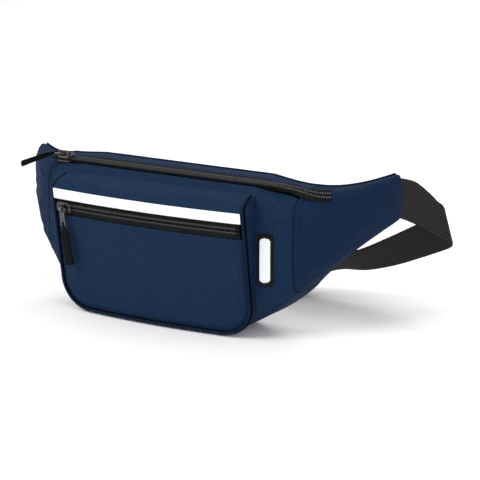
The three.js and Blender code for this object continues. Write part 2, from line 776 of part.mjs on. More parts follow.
function frontPull() {
  const ring = new THREE.CylinderGeometry(ringOuter, ringOuter, 1.3, 16);
  const eye = new THREE.CylinderGeometry(ringInner, ringInner, 3, 16);
  const plate = block([ringInner + 0.3, -0.65, -0.5], [3.4, 0.65, 0.5]);
  const blade = block([3.2, -2.1, -0.5], [frontPullLong, 2.1, 0.5]);
  const slot = block([frontPullLong - 3.4, -1.3, -2], [frontPullLong - 1, 1.3, 2]);
  return cut(join(ring, plate, blade), eye, slot);
}

const frontPin = frontSliderAt.clone().addScaledVector(frontOut, archBarMid);
const hang = vec(0.08, 0, -1).addScaledVector(frontOutLevel, -0.05).normalize();
addPiece('front_pull_tab', placed(frontPull(), ...withAxes(frontPin, hang, frontAlong)), 'metal', pocket);

const frontEye = frontPin.clone().addScaledVector(hang, frontPullLong - 0.5);
const ribbonHang = vec(0.12, 0.07, -1).normalize();
const frontRibbonFrame = withAxes(frontEye, ribbonHang, frontAlong);
const frontRibbon = pullRibbon(frontRibbonFrame, frontRibbonFrame, 32, 7, 5);
addPiece('front_pull_ribbon', frontRibbon, 'black', pocket);

// ---- pocket sides: gusset and piping -----------------------------------------------------------------------
// The pocket's outline in the front view, down the left side, round the bottom and up the right.
function pocketOutline(inset) {
  const low = pocketBottomZ + inset;
  const corner = pocketCorner - inset;
  const sideZ = [pocketTopZ - 2, 103, stripTopZ, 80, 60, 42, low + corner];
  const left = sideZ.map((z) => [-pocketWidth(z, inset), z]);
  const centreX = pocketHalf - inset - corner;
  const cornerSides = 5;
  for (let k = 1; k <= cornerSides; k += 1) {
    const angle = (Math.PI / 2) * (k / cornerSides);
    left.push([-centreX - corner * Math.cos(angle), low + corner - corner * Math.sin(angle)]);
  }
  const across = [-0.5, 0, 0.5].map((share) => [share * centreX, low]);
  const right = left.map(([x, z]) => [-x, z]).reverse();
  return [...left, ...across, ...right];
}

const pipingRadius = 1.15;
const pipingInset = 0.9;
const pipingDepth = 0.6;

function pocketGusset() {
  const outline = pocketOutline(0);
  const inwards = outline.map((_, i) => {
    const [x0, z0] = outline[Math.max(0, i - 1)];
    const [x1, z1] = outline[Math.min(outline.length - 1, i + 1)];
    return vec(-(z1 - z0), 0, x1 - x0).normalize();
  });
  const front = pipingDepth + pipingRadius + gap + 0.9;
  const layer = (distance) => (i, j) => {
    const [x, z] = outline[i];
    const nearY = faceY(x, z) + front;
    const place = vec(x, 0, z).addScaledVector(inwards[i], distance);
    const farY = Math.max(nearY + 0.6, mainFrontY(place.x, place.z) - gap - 0.5);
    return place.setY(lerp(nearY, farY, j / 2));
  };
  return closedGrid(layer(0), layer(1.4), outline.length - 1, 2);
}

function tubeAlong(points, radius, sides, steps) {
  const path = new THREE.CatmullRomCurve3(points, false, 'centripetal');
  const ring = new THREE.Shape();
  ring.absarc(0, 0, radius, 0, 2 * Math.PI, false);
  const options = { steps, extrudePath: path, bevelEnabled: false, curveSegments: sides };
  return new THREE.ExtrudeGeometry(ring, options);
}

const pipingRoute = pocketOutline(pipingInset).map(([x, z]) => vec(x, faceY(x, z) + pipingDepth, z));
addPiece('pocket_gusset', pocketGusset(), 'navy', pocket);
addPiece('pocket_piping', tubeAlong(pipingRoute, pipingRadius, 7, 52), 'navy', pocket);

// ---- side label ---------------------------------------------------------------------------------------------
function labelPanel(fromStation, toStation, lowZ, highZ, thickness, lift) {
  const surface = (a, b) => frontSkin(wing(1, lerp(fromStation, toStation, a)), lerp(lowZ, highZ, b));
  return sheet(surface, 3, 2, thickness, lift);
}

addPiece('side_label_backing', labelPanel(0.12, 0.25, 42, 81, 0.5, 0.95), 'black');
addPiece('side_label_patch', labelPanel(0.142, 0.229, 44.8, 78.6, 0.4, 1.65), 'white');

// ---- belt -----------------------------------------------------------------------------------------------------
// A strap is laid through its centre points; each point also says which way the strap's upper edge
// leans there, as a direction (x, y, z).
function strap(route, stepsPerPoint) {
  const centres = new THREE.CatmullRomCurve3(route.map(([p]) => vec(...p)), false, 'centripetal');
  const leanVectors = route.map(([, w]) => vec(...w).normalize());
  const leans = new THREE.CatmullRomCurve3(leanVectors, false, 'catmullrom', 0.5);
  const steps = stepsPerPoint * (route.length - 1);
  const layer = (out) => (i, j) => {
    const t = i / steps;
    const ahead = centres.getPoint(Math.min(1, t + 0.001));
    const behind = centres.getPoint(Math.max(0, t - 0.001));
    const along = ahead.sub(behind).normalize();
    const up = leans.getPoint(t).normalize();
    const side = along.clone().cross(up);
    const reach = webbing / side.length();
    side.normalize();
    return centres.getPoint(t).addScaledVector(up, (j - 0.5) * reach).addScaledVector(side, out);
  };
  return closedGrid(layer(webbingThick / 2), layer(-webbingThick / 2), steps, 1);
}

// Where the strap is sewn in between the two layers of a wing tip.
function tipPoint(side, w) {
  const { front, back } = planAt(wing(side, w));
  const away = vec(front[0] - back[0], front[1] - back[1], 0).normalize();
  const tip = wing(side, 1);
  const middleZ = (bottomAt(tip) + topAt(tip)) / 2;
  return vec(back[0], back[1], middleZ - 0.6).addScaledVector(away, 1.3).toArray();
}

const upright = [0, 0, 1];
const flat = [0, -1, 0];

const rightRoute = [
  [tipPoint(1, 0.94), upright],
  [tipPoint(1, 1), upright],
  [[160, 84, 91.5], [0.04, 0.02, 1]],
  [[167, 99, 81], [-0.08, -0.06, 1]],
  [[172, 108, 73.5], [-0.18, -0.13, 0.97]],
  [[175, 113.5, 69], [-0.2, -0.16, 0.96]],
  [[171, 118, 64.5], [-0.15, -0.2, 0.96]],
  [[160, 120, 58], [-0.05, -0.28, 0.95]],
  [[145, 118.5, 50], [0.08, -0.36, 0.92]],
  [[126, 114, 41], [0.1, -0.5, 0.85]],
  [[105, 108.5, 33], [0.08, -0.68, 0.7]],
  [[82, 104.5, 28.5], [0.03, -0.82, 0.55]],
  [[60, 102, 16], [0, -0.95, 0.3]],
  [[46, 101, 5.4], flat],
  [[34, 101, 1.9], flat],
  [[22, 101, 1.6], flat],
  [[12.4, 101, 1.6], flat],
  [[9.7, 101, 4.9], flat],
  [[11.3, 101, 8.6], flat],
  [[15, 101, 9.5], flat],
  [[18.8, 101, 8.5], flat],
  [[21.2, 101, 5.6], flat],
  [[26, 101, 4.2], flat],
  [[34, 101, 4.5], flat],
  [[45, 101, 8.6], flat],
  [[57.5, 102, 18.4], [0, -0.95, 0.3]],
  [[81, 103.6, 32.2], [0.03, -0.82, 0.55]],
  [[104, 106.4, 35.8], [0.08, -0.68, 0.7]],
];

const leftRoute = [
  [tipPoint(-1, 0.94), upright],
  [tipPoint(-1, 1), upright],
  [[-161, 65, 87], upright],
  [[-161, 82, 80], [0.05, 0, 1]],
  [[-153, 95, 70], [0.05, -0.2, 0.97]],
  [[-138, 103, 59], [0, -0.35, 0.95]],
  [[-116, 107, 47], [-0.05, -0.5, 0.85]],
  [[-94, 106, 37], [-0.05, -0.68, 0.7]],
  [[-74, 103, 26], [0, -0.9, 0.45]],
  [[-60, 101, 14], flat],
  [[-50, 101, 9.4], flat],
  [[-42, 101, 9.4], flat],
  [[-37, 101, 9.5], flat],
  [[-33, 101, 8.3], flat],
  [[-31.8, 101, 5.2], flat],
  [[-33.4, 101, 2.0], flat],
  [[-38, 101, 1.3], flat],
  [[-48, 101, 3.2], flat],
  [[-58, 101, 8.2], flat],
];

addPiece('belt_webbing_right', strap(rightRoute, 2), 'grey');
addPiece('belt_webbing_left', strap(leftRoute, 2), 'grey');

// ---- side-release buckle -----------------------------------------------------------------------------------
const buckleY = 101;
const buckleHalf = 18;
const buckleLowZ = 0;
const buckleHighZ = 10;
const slotHalf = 15.6;
const cavityHalf = 14.5;
const cavityLowZ = 2.6;
const cavityHighZ = 7.8;
const mouthX = -2;

const slab = (x0, x1, halfY, z0, z1) => block([x0, buckleY - halfY, z0], [x1, buckleY + halfY, z1]);

function buckleFemale() {
  const shell = slab(-28.5, mouthX, buckleHalf, buckleLowZ, buckleHighZ);
  const rails = slab(-38.5, -28, buckleHalf, 2.6, 7.8);
  const loopSlot = slab(-35, -28.6, slotHalf, -1, 12);
  const cavity = slab(-25.5, mouthX + 1, cavityHalf, cavityLowZ, cavityHighZ);
  const windows = slab(-20.5, -7.5, 30, cavityLowZ, cavityHighZ);
  return cut(join(shell, rails), loopSlot, cavity, windows);
}

function buckleMale() {
  const frame = slab(0.5, 30, buckleHalf, 2.8, 8.2);
  const slots = [slab(7.4, 12.6, slotHalf, -1, 12), slab(17.4, 30.5, slotHalf, -1, 12)];
  const endBar = slab(25.4, 29.4, buckleHalf, 5.6, 8.8);
  const tongue = slab(-22, 0.8, 3, 3.2, 7.2);
  return join(cut(frame, ...slots), endBar, tongue);
}

function buckleProng(side) {
  const low = cavityLowZ + 0.6;
  const high = cavityHighZ - 0.6;
  const outline = new THREE.Shape();
  outline.moveTo(0.1, 9.5);
  outline.lineTo(0.1, 13);
  outline.lineTo(-7.9, 12.4);
  outline.lineTo(-8.1, 17);
  outline.quadraticCurveTo(-13, 17.6, -19.5, 13.6);
  outline.lineTo(-20.4, 10.6);
  outline.lineTo(-18.6, 9.6);
  outline.lineTo(-9, 9.5);
  const prong = new THREE.ExtrudeGeometry(outline, { depth: high - low, bevelEnabled: false, curveSegments: 6 });
  if (side < 0) {
    prong.applyMatrix4(new THREE.Matrix4().makeScale(1, -1, 1));
    prong.setIndex(Array.from({ length: prong.attributes.position.count }, (_, k) => k));
    facingOut(prong);
  }
  return prong.translate(0, buckleY, low);
}

addPiece('buckle_female', buckleFemale(), 'plastic');
addPiece('buckle_male', buckleMale(), 'plastic');
addPiece('buckle_prong_back', buckleProng(1), 'plastic');
addPiece('buckle_prong_front', buckleProng(-1), 'plastic');

export default bag;
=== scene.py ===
"""A navy waist bag with a zipped front pocket and a webbing belt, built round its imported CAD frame.

The bag's skin and pocket use the CAD solids' formulas, in millimetres, and turn into metres when a
mesh is made. They differ from CAD in five places: the curve and taper of the pocket's top, the front
edge of the main zip at the left corner, the gusset's inner edge, and the belt's width in its bends.
+X runs along the bag, +Y points to the wearer, +Z is up.
"""

import json
import math

import bpy
import numpy as np
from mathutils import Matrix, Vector, noise


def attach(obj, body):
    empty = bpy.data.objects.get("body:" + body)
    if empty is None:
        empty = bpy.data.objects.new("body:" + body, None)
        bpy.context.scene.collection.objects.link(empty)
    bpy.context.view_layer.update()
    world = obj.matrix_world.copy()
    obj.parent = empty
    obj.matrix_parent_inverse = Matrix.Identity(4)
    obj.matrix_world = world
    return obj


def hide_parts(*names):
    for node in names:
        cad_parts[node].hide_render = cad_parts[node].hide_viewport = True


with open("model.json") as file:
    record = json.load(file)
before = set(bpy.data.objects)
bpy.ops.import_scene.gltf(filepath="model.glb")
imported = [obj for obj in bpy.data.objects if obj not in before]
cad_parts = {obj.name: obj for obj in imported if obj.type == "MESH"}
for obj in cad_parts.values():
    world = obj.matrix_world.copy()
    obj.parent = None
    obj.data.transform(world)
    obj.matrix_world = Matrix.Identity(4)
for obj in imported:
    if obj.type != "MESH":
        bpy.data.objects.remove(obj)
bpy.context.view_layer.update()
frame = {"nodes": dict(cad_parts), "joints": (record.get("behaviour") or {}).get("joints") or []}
scene = bpy.context.scene
MM = 0.001
CLOTH_THICK = 1.1
GUSSET_THICK = 1.0
TAPE_THICK = 0.45
THREAD = 0.22                  # radius of a stitch on the bag's cloth
THREAD_LIFT = 0.12             # how far its middle stands off the cloth
SEAM_GAP = 0.001               # wing stations left between two panels sewn together
ROOT = "bag"

# ---- camera --------
TARGET = Vector((0.057, 0.0, 0.068))
DISTANCE = 1.5
AZIMUTH = math.radians(30)
ELEVATION = math.radians(15)
SENSOR = 36.0
FOCAL_SHARE = 1.34 * 1500 / 480          # focal length as a share of the picture's width


def make_camera():
    data = bpy.data.cameras.new("camera")
    camera = bpy.data.objects.new("camera", data)
    scene.collection.objects.link(camera)
    back = Vector((math.sin(AZIMUTH) * math.cos(ELEVATION),
                   -math.cos(AZIMUTH) * math.cos(ELEVATION),
                   math.sin(ELEVATION)))
    camera.location = TARGET + back * DISTANCE
    camera.rotation_euler = (-back).to_track_quat("-Z", "Y").to_euler()
    data.sensor_width = SENSOR
    data.lens = SENSOR * FOCAL_SHARE
    data.clip_end = 50
    scene.camera = camera


# ---- shape of the bag, in millimetres --------
FRONT_Y = -22.0
BACK_Y = 20.0
TOP_Z = 116.0
FLAT_HALF = 75.0
BASE_HALF = 45.0
SEAM = 0.4                     # wing station of the seam between the front panel and a wing
SEAM_BOTTOM_Z = 33.0
TIP_TOP_Z = 115.5
TIP_BOTTOM_Z = 80.5
DIP_Z = {1: 6.5, -1: 3.5}
LEFT_DROOP = 6.0
RIDGE_Y = -5.0
RIDGE_Z = 115.6
ZIP_START = 0.39
ZIP_END = 0.62
SLIDER_HALF = 4.3

WING_PLAN = {
    1: (((FLAT_HALF, FRONT_Y), (100, FRONT_Y), (131, 1), (157.5, 67)),
        ((FLAT_HALF, BACK_Y), (103, BACK_Y), (129, 39), (151.6, 69.4))),
    -1: (((FLAT_HALF, FRONT_Y), (100, FRONT_Y), (134, 1), (158.5, 46)),
         ((FLAT_HALF, BACK_Y), (103, BACK_Y), (127, 28.5), (153.3, 50))),
}


def lerp(a, b, t):
    return a + (b - a) * t


def smoothstep(x, low, high):
    t = np.clip((x - low) / (high - low), 0, 1)
    return t * t * (3 - 2 * t)


def unit(v):
    return v / np.maximum(1e-12, np.linalg.norm(v, axis=-1, keepdims=True))


def travelled(points):
    """Distance along a line of points, from its first point to each of them."""
    return np.concatenate([[0], np.cumsum(np.linalg.norm(np.diff(points, axis=0), axis=1))])


def points_at(wanted, known, points):
    return np.stack([np.interp(wanted, known, points[:, k]) for k in range(3)], -1)


def bezier(points, t):
    s = 1 - t
    weights = (s**3, 3 * s * s * t, 3 * s * t * t, t**3)
    return np.array([sum(w * p[k] for w, p in zip(weights, points)) for k in (0, 1)])


class Place:
    """A cross-section of the bag: at x in its straight middle, or at station w of a wing."""

    known = {}

    def __init__(self, side, w, x):
        self.side, self.w, self.x = side, w, x
        if w == 0:
            self.front = np.array([x, FRONT_Y])
            self.back = np.array([x, BACK_Y])
        else:
            front, back = WING_PLAN[side]
            self.front = bezier(front, w) * (side, 1)
            self.back = bezier(back, w) * (side, 1)
        self.low = self.bottom()
        self.high = self.top()
        self.trace()

    def droop(self):
        if self.side > 0 or self.w <= SEAM:
            return 0.0
        return LEFT_DROOP * ((self.w - SEAM) / (1 - SEAM)) ** 0.8

    def bottom(self):
        seam_reach = bezier(WING_PLAN[1][0], SEAM)[0]
        if self.w <= SEAM:
            rise = max(0.0, abs(self.front[0]) - BASE_HALF) / (seam_reach - BASE_HALF)
            return SEAM_BOTTOM_Z * rise**1.8
        along = (self.w - SEAM) / (1 - SEAM)
        return lerp(SEAM_BOTTOM_Z, TIP_BOTTOM_Z, along**0.87) - self.droop()

    def top(self):
        edge = lerp(TOP_Z, TIP_TOP_Z, self.w) - DIP_Z[self.side] * math.sin(math.pi * self.w**1.15)
        return edge - self.droop()

    def trace(self):
        """Walks the D-shaped section from the top of the back, over the front, to its bottom."""
        steps = 240
        t = 1 - 2 * np.arange(steps + 1) / steps
        warped = np.sign(t) * (1 - (1 - np.abs(t)) ** 2) * (0.35 + 0.65 * np.abs(t))
        angle = warped * math.pi / 2
        lower_power = lerp(7, 3.6, min(1, self.w * 1.5))
        power = np.where(angle > 0, 4.0, lower_power)
        depth = np.maximum(0, np.cos(angle)) ** (2 / power)
        fullness = np.where(angle > 0, 1.02, 1.03)
        rise = np.minimum(1, fullness * np.abs(np.sin(angle)) ** (2 / power))
        xy = self.back[None] + (self.front - self.back)[None] * depth[:, None]
        z = (self.low + self.high) / 2 + np.sign(angle) * rise * (self.high - self.low) / 2
        self.points = np.column_stack([xy, z])
        self.lengths = travelled(self.points)
        self.depth = depth
        self.girth = self.lengths[-1]

    def at(self, distance):
        """Points at distances along the section, measured from the top of the back."""
        return points_at(distance, self.lengths, self.points)

    def depth_at(self, share, upper=True):
        half = len(self.depth) // 2
        if upper:
            return float(np.interp(share, self.depth[: half + 1], self.lengths[: half + 1]))
        lower = slice(len(self.depth) - 1, half - 1, -1)
        return float(np.interp(share, self.depth[lower], self.lengths[lower]))

    def height_at(self, z):
        """Distance along the section down to a height on the front."""
        start = int(len(self.depth) * 0.15)
        zs = self.points[start:, 2]
        return float(np.interp(-z, -zs, self.lengths[start:]))

    def normal(self, distance):
        out = unit(np.append(self.front - self.back, 0.0))
        along = self.at(distance + 0.5) - self.at(distance - 0.5)
        return unit(out * -along[2] + np.array([0, 0, along @ out]))


def place(side, w, x=0.0):
    key = (side, round(w, 6), round(x, 4))
    if key not in Place.known:
        Place.known[key] = Place(*key)
    return Place.known[key]


def middle(x):
    return place(1 if x >= 0 else -1, 0.0, x)


def wing(side, w):
    return place(side, w, side * FLAT_HALF) if w > 0 else middle(side * FLAT_HALF)


def run_of_places(left, right, step=1.5, wing_step=0.0125):
    """Sections from station `left` of the left wing to station `right` of the right wing."""
    found = []
    for side, end in ((-1, left), (1, right)):
        count = max(1, int(round(end / wing_step)))
        stations = [end * k / count for k in range(1, count + 1)]
        ends = [wing(side, w) for w in stations]
        if side < 0:
            found += ends[::-1]
            count = int(2 * FLAT_HALF / step)
            found += [middle(lerp(-FLAT_HALF, FLAT_HALF, k / count)) for k in range(count + 1)]
        else:
            found += ends
    return found


def zip_slide(p):
    return 9 * smoothstep(p.w, 0.25, ZIP_END) if p.side > 0 else 0.0


def front_edge(p):
    return p.depth_at(0.7) + zip_slide(p)


def back_edge(p):
    return p.depth_at(0.36) + zip_slide(p)


def zip_lift(p):
    return 1.7 * smoothstep(p.w, 0.22, 0.36) if p.side > 0 else 0.0


def lifted(p, distance):
    return p.at(distance) + p.normal(distance) * zip_lift(p)


def skin_grid(places, start, end, rows, ease=1.0):
    share = np.linspace(0, 1, rows + 1) ** ease
    return np.stack([p.at(lerp(start(p), end(p), share)) for p in places])


# ---- cloth --------
def normals_of(grid):
    along = np.gradient(grid, axis=0)
    across = np.gradient(grid, axis=1)
    return unit(np.cross(across, along))


def perlin(grid, size, seed=0.0):
    """Smooth noise in about -1..1 at each point of a grid; size is the length of one ripple."""
    flat = grid.reshape(-1, 3) / size + seed
    values = [noise.noise(Vector(p)) for p in flat]
    return np.array(values).reshape(grid.shape[:-1])


def crumple(grid, size, seed=0.0):
    """Ridged noise: broad soft facets that meet in narrow folds."""
    warp = 0.35 * size * np.stack([perlin(grid, size * 1.7, seed + k * 9.1) for k in range(3)], -1)
    return 1 - 2 * np.abs(perlin(grid + warp, size, seed + 3.3)) ** 0.8


def folds(u, v, lines):
    """Sum of soft creases; each is (u0, v0, u1, v1, width, height) in the panel's own coordinates."""
    total = np.zeros_like(u)
    for u0, v0, u1, v1, width, height in lines:
        length2 = (u1 - u0) ** 2 + (v1 - v0) ** 2
        t = ((u - u0) * (u1 - u0) + (v - v0) * (v1 - v0)) / length2
        inside = np.clip(t, 0, 1)
        du = u - (u0 + inside * (u1 - u0))
        dv = v - (v0 + inside * (v1 - v0))
        reach = np.hypot(du, dv) / width
        side = np.sign(du * (v1 - v0) - dv * (u1 - u0))
        taper = np.clip(4 * inside * (1 - inside), 0, 1) ** 0.5
        ridge = np.exp(-(reach**2))
        trough = np.exp(-((reach - 1.5) ** 2) / 0.8) * (side > 0)
        total += height * (ridge - 0.55 * trough) * (0.15 + 0.85 * taper)
    return total


def lengths_along(grid, axis):
    steps = np.linalg.norm(np.diff(grid, axis=axis), axis=-1)
    pad = [(0, 0), (0, 0)]
    pad[axis] = (1, 0)
    return np.cumsum(np.pad(steps, pad), axis=axis)


def link(name, vertices, faces, uv=None):
    mesh = bpy.data.meshes.new(name)
    mesh.from_pydata((np.asarray(vertices) * MM).tolist(), [], faces)
    if uv is not None:
        layer = mesh.uv_layers.new(name="weave")
        corners = np.zeros(len(mesh.loops), int)
        mesh.loops.foreach_get("vertex_index", corners)
        layer.data.foreach_set("uv", np.asarray(uv, float)[corners].ravel())
    mesh.polygons.foreach_set("use_smooth", [True] * len(mesh.polygons))
    mesh.update()
    obj = bpy.data.objects.new(name, mesh)
    scene.collection.objects.link(obj)
    return obj


def finish_piece(obj, material, body=ROOT, nodes=()):
    obj.data.materials.clear()
    obj.data.materials.append(material)
    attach(obj, body)
    if nodes:
        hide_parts(*nodes)
    return obj


def sheet(outer, thickness):
    """Vertices, faces and cloth coordinates of cloth whose outer face is the grid, with a rounded rim."""
    columns, rows = outer.shape[0], outer.shape[1]
    outward = normals_of(outer)
    inner = outer - outward * thickness
    along = lengths_along(outer, 0)
    across = lengths_along(outer, 1)
    centre_row = along[:, rows // 2][:, None] + 0 * along
    centre_column = across[columns // 2][None, :] + 0 * across
    weave = np.stack([lerp(centre_row, along, 0.5), lerp(centre_column, across, 0.5)], -1) * MM
    vertices = [outer.reshape(-1, 3), inner.reshape(-1, 3)]
    uv = [weave.reshape(-1, 2), weave.reshape(-1, 2)]
    size = columns * rows
    index = np.arange(size).reshape(columns, rows)
    faces = []
    a, b = index[:-1, :-1].ravel(), index[1:, :-1].ravel()
    c, d = index[1:, 1:].ravel(), index[:-1, 1:].ravel()
    faces += np.column_stack([a, d, c, b]).tolist()
    faces += (np.column_stack([a, b, c, d]) + size).tolist()
    # the rim, with one bulging ring half way through the cloth
    loop = [(i, 0) for i in range(columns)]
    loop += [(columns - 1, j) for j in range(1, rows)]
    loop += [(i, rows - 1) for i in range(columns - 2, -1, -1)]
    loop += [(0, j) for j in range(rows - 2, 0, -1)]
    loop = np.array(loop)
    rim_outer = outer[loop[:, 0], loop[:, 1]]
    rim_inner = inner[loop[:, 0], loop[:, 1]]
    inside = outer[np.clip(loop[:, 0], 1, columns - 2), np.clip(loop[:, 1], 1, rows - 2)]
    bulge = unit(rim_outer - inside) * thickness * 0.4
    vertices.append((rim_outer + rim_inner) / 2 + bulge)
    uv.append(weave[loop[:, 0], loop[:, 1]])
    rim = index[loop[:, 0], loop[:, 1]]
    count = len(rim)
    ring = 2 * size + np.arange(count)
    following = np.roll(np.arange(count), -1)
    faces += np.column_stack([rim, rim[following], ring[following], ring]).tolist()
    faces += np.column_stack([ring, ring[following], rim[following] + size, rim + size]).tolist()
    return np.concatenate(vertices), faces, np.concatenate(uv)


def cover(name, outer, thickness, material, slot, *nodes):
    finish_piece(link(name, *sheet(outer, thickness)), material, nodes=nodes)


def side_faces(count, sides):
    """Four-cornered faces between neighbouring rings of points."""
    i = np.arange(count - 1)[:, None]
    k = np.arange(sides)[None]
    following = (k + 1) % sides
    quads = np.stack([i * sides + k, i * sides + following,
                      (i + 1) * sides + following, (i + 1) * sides + k], -1)
    return quads.reshape(-1, 4)


def tube(points, radius, sides=8, squash=1.0, twist_up=(0, 0, 1)):
    """Vertices, faces and cloth coordinates of a round cord along points, with capped ends."""
    points = np.asarray(points, float)
    along = unit(np.gradient(points, axis=0))
    up = np.array(twist_up, float)
    first = unit(np.cross(along, up[None]) + 1e-9)
    second = np.cross(first, along)
    angle = 2 * math.pi * np.arange(sides) / sides
    radii = np.broadcast_to(np.asarray(radius, float), (len(points),))
    ring = (first[:, None] * np.cos(angle)[None, :, None]
            + second[:, None] * (squash * np.sin(angle))[None, :, None])
    body = points[:, None] + ring * radii[:, None, None]
    vertices = np.concatenate([body.reshape(-1, 3), points[:1], points[-1:]])
    count = len(points)
    faces = side_faces(count, sides).tolist()
    start, end = count * sides, count * sides + 1
    last = (count - 1) * sides
    faces += [[start, (m + 1) % sides, m] for m in range(sides)]
    faces += [[end, last + m, last + (m + 1) % sides] for m in range(sides)]
    travel = travelled(points)
    uv = np.stack([np.repeat(travel, sides), np.tile(angle, count) * radii.mean()], -1) * MM
    uv = np.concatenate([uv, [[travel[0] * MM, 0]], [[travel[-1] * MM, 0]]])
    return vertices, faces, uv


class Batch:
    """Collects many small shapes into one mesh."""

    def __init__(self):
        self.vertices, self.faces, self.uv = [], [], []
        self.count = 0

    def add(self, shape):
        vertices, faces, uv = shape
        self.vertices.append(vertices)
        self.uv.append(uv)
        self.faces += [[k + self.count for k in face] for face in faces]
        self.count += len(vertices)

    def build(self, name):
        return link(name, np.concatenate(self.vertices), self.faces, np.concatenate(self.uv))


def resample(points, spacing):
    points = np.asarray(points, float)
    travel = travelled(points)
    count = max(2, int(round(travel[-1] / spacing)) + 1)
    wanted = np.linspace(0, travel[-1], count)
    return points_at(wanted, travel, points)


def add_stitches(batch, points, pitch=3.0, share=0.72, radius=0.27):
    """A row of thread stitches that dive into the cloth at both ends."""
    line = resample(points, pitch / 6)
    per = 6
    for start in range(0, len(line) - per, per):
        stretch = line[start: start + per]
        used = resample(stretch, (pitch * share) / 4)[:5]
        swell = radius * np.array([0.35, 0.95, 1.05, 0.95, 0.35])[: len(used)]
        batch.add(tube(used, swell, sides=5))


# ---- materials --------
class Nodes:
    """A small helper that adds shader nodes and wires them by name."""

    def __init__(self, name):
        self.material = bpy.data.materials.new(name)
        self.material.use_nodes = True
        self.tree = self.material.node_tree
        self.shader = self.tree.nodes["Principled BSDF"]

    def add(self, kind, inputs=None, **settings):
        node = self.tree.nodes.new(kind)
        for key, value in settings.items():
            setattr(node, key, value)
        for key, value in (inputs or {}).items():
            if isinstance(value, bpy.types.NodeSocket):
                self.tree.links.new(value, node.inputs[key])
            else:
                node.inputs[key].default_value = value
        return node

    def maths(self, operation, a, b=0.0, c=0.0):
        node = self.add("ShaderNodeMath", {0: a, 1: b, 2: c}, operation=operation)
        return node.outputs[0]

    def plus(self, a, b):
        return self.maths("ADD", a, b)

    def times(self, a, b):
        return self.maths("MULTIPLY", a, b)

    def minus(self, a, b):
        return self.maths("SUBTRACT", a, b)

    def set(self, **values):
        for key, value in values.items():
            self.shader.inputs[key.replace("_", " ")].default_value = value

    def wire(self, name, socket):
        self.tree.links.new(socket, self.shader.inputs[name])


def mix_colours(n, factor, a, b):
    """A colour mix that copes with the mix node's repeated socket names."""
    node = n.tree.nodes.new("ShaderNodeMix")
    node.data_type = "RGBA"
    colour_inputs = [s for s in node.inputs if s.type == "RGBA"]
    n.tree.links.new(factor, node.inputs[0])
    for socket, value in zip(colour_inputs, (a, b)):
        if isinstance(value, bpy.types.NodeSocket):
            n.tree.links.new(value, socket)
        else:
            socket.default_value = value
    return [s for s in node.outputs if s.type == "RGBA"][0]


def woven(name, dark, light, pitch=(1.5, 1.4), depth=0.25, roughness=0.8, sheen=0.0,
          cloudiness=0.12, twill=False, specular=0.07):
    """Plain or twill weave in cloth coordinates, with threads that crown between crossings.

    The pitches are coarser than real cloth of this kind, so that the weave shows.
    """
    n = Nodes(name)
    uv = n.add("ShaderNodeUVMap", uv_map="weave").outputs[0]
    split = n.add("ShaderNodeSeparateXYZ", {0: uv})
    along = n.maths("DIVIDE", split.outputs[0], pitch[0] * MM)
    across = n.maths("DIVIDE", split.outputs[1], pitch[1] * MM)
    if twill:
        along = n.plus(along, n.times(across, 0.5))
    warp = n.maths("SINE", n.times(along, math.pi))
    weft = n.maths("SINE", n.times(across, math.pi))
    over = n.maths("GREATER_THAN", n.times(warp, weft), 0.0)
    warp_height = n.maths("ABSOLUTE", warp)
    weft_height = n.maths("ABSOLUTE", weft)
    first = n.times(warp_height, n.maths("POWER", weft_height, 0.35))
    second = n.times(weft_height, n.maths("POWER", warp_height, 0.35))
    height = n.plus(n.times(first, over), n.times(second, n.minus(1.0, over)))
    place_in_space = n.add("ShaderNodeTexCoord").outputs["Object"]
    clouds = n.add("ShaderNodeTexNoise", {"Vector": place_in_space, "Scale": 38.0, "Detail": 4.0})
    fuzz = n.add("ShaderNodeTexNoise", {"Vector": place_in_space, "Scale": 2600.0, "Detail": 2.0})
    # Painted highlight and shade: thread tops are coloured lighter and the gaps between threads darker.
    crown = n.maths("POWER", height, 2.2)
    tone = n.plus(n.times(crown, 0.75), n.times(over, 0.3))
    tone = n.plus(tone, n.times(n.minus(clouds.outputs["Fac"], 0.5), cloudiness * 4))
    tone = n.plus(tone, n.times(n.minus(fuzz.outputs["Fac"], 0.5), 0.5))
    tone = n.add("ShaderNodeClamp", {"Value": tone}).outputs[0]
    n.wire("Base Color", mix_colours(n, tone, dark, light))
    rough = n.plus(n.times(height, -0.12), roughness)
    n.wire("Roughness", rough)
    bump_height = n.plus(height, n.times(fuzz.outputs["Fac"], 0.3))
    bump = n.add("ShaderNodeBump", {"Height": bump_height, "Strength": 0.55, "Distance": depth * MM})
    n.wire("Normal", bump.outputs[0])
    n.set(Sheen_Weight=sheen, Sheen_Roughness=0.45, Specular_IOR_Level=specular)
    return n.material


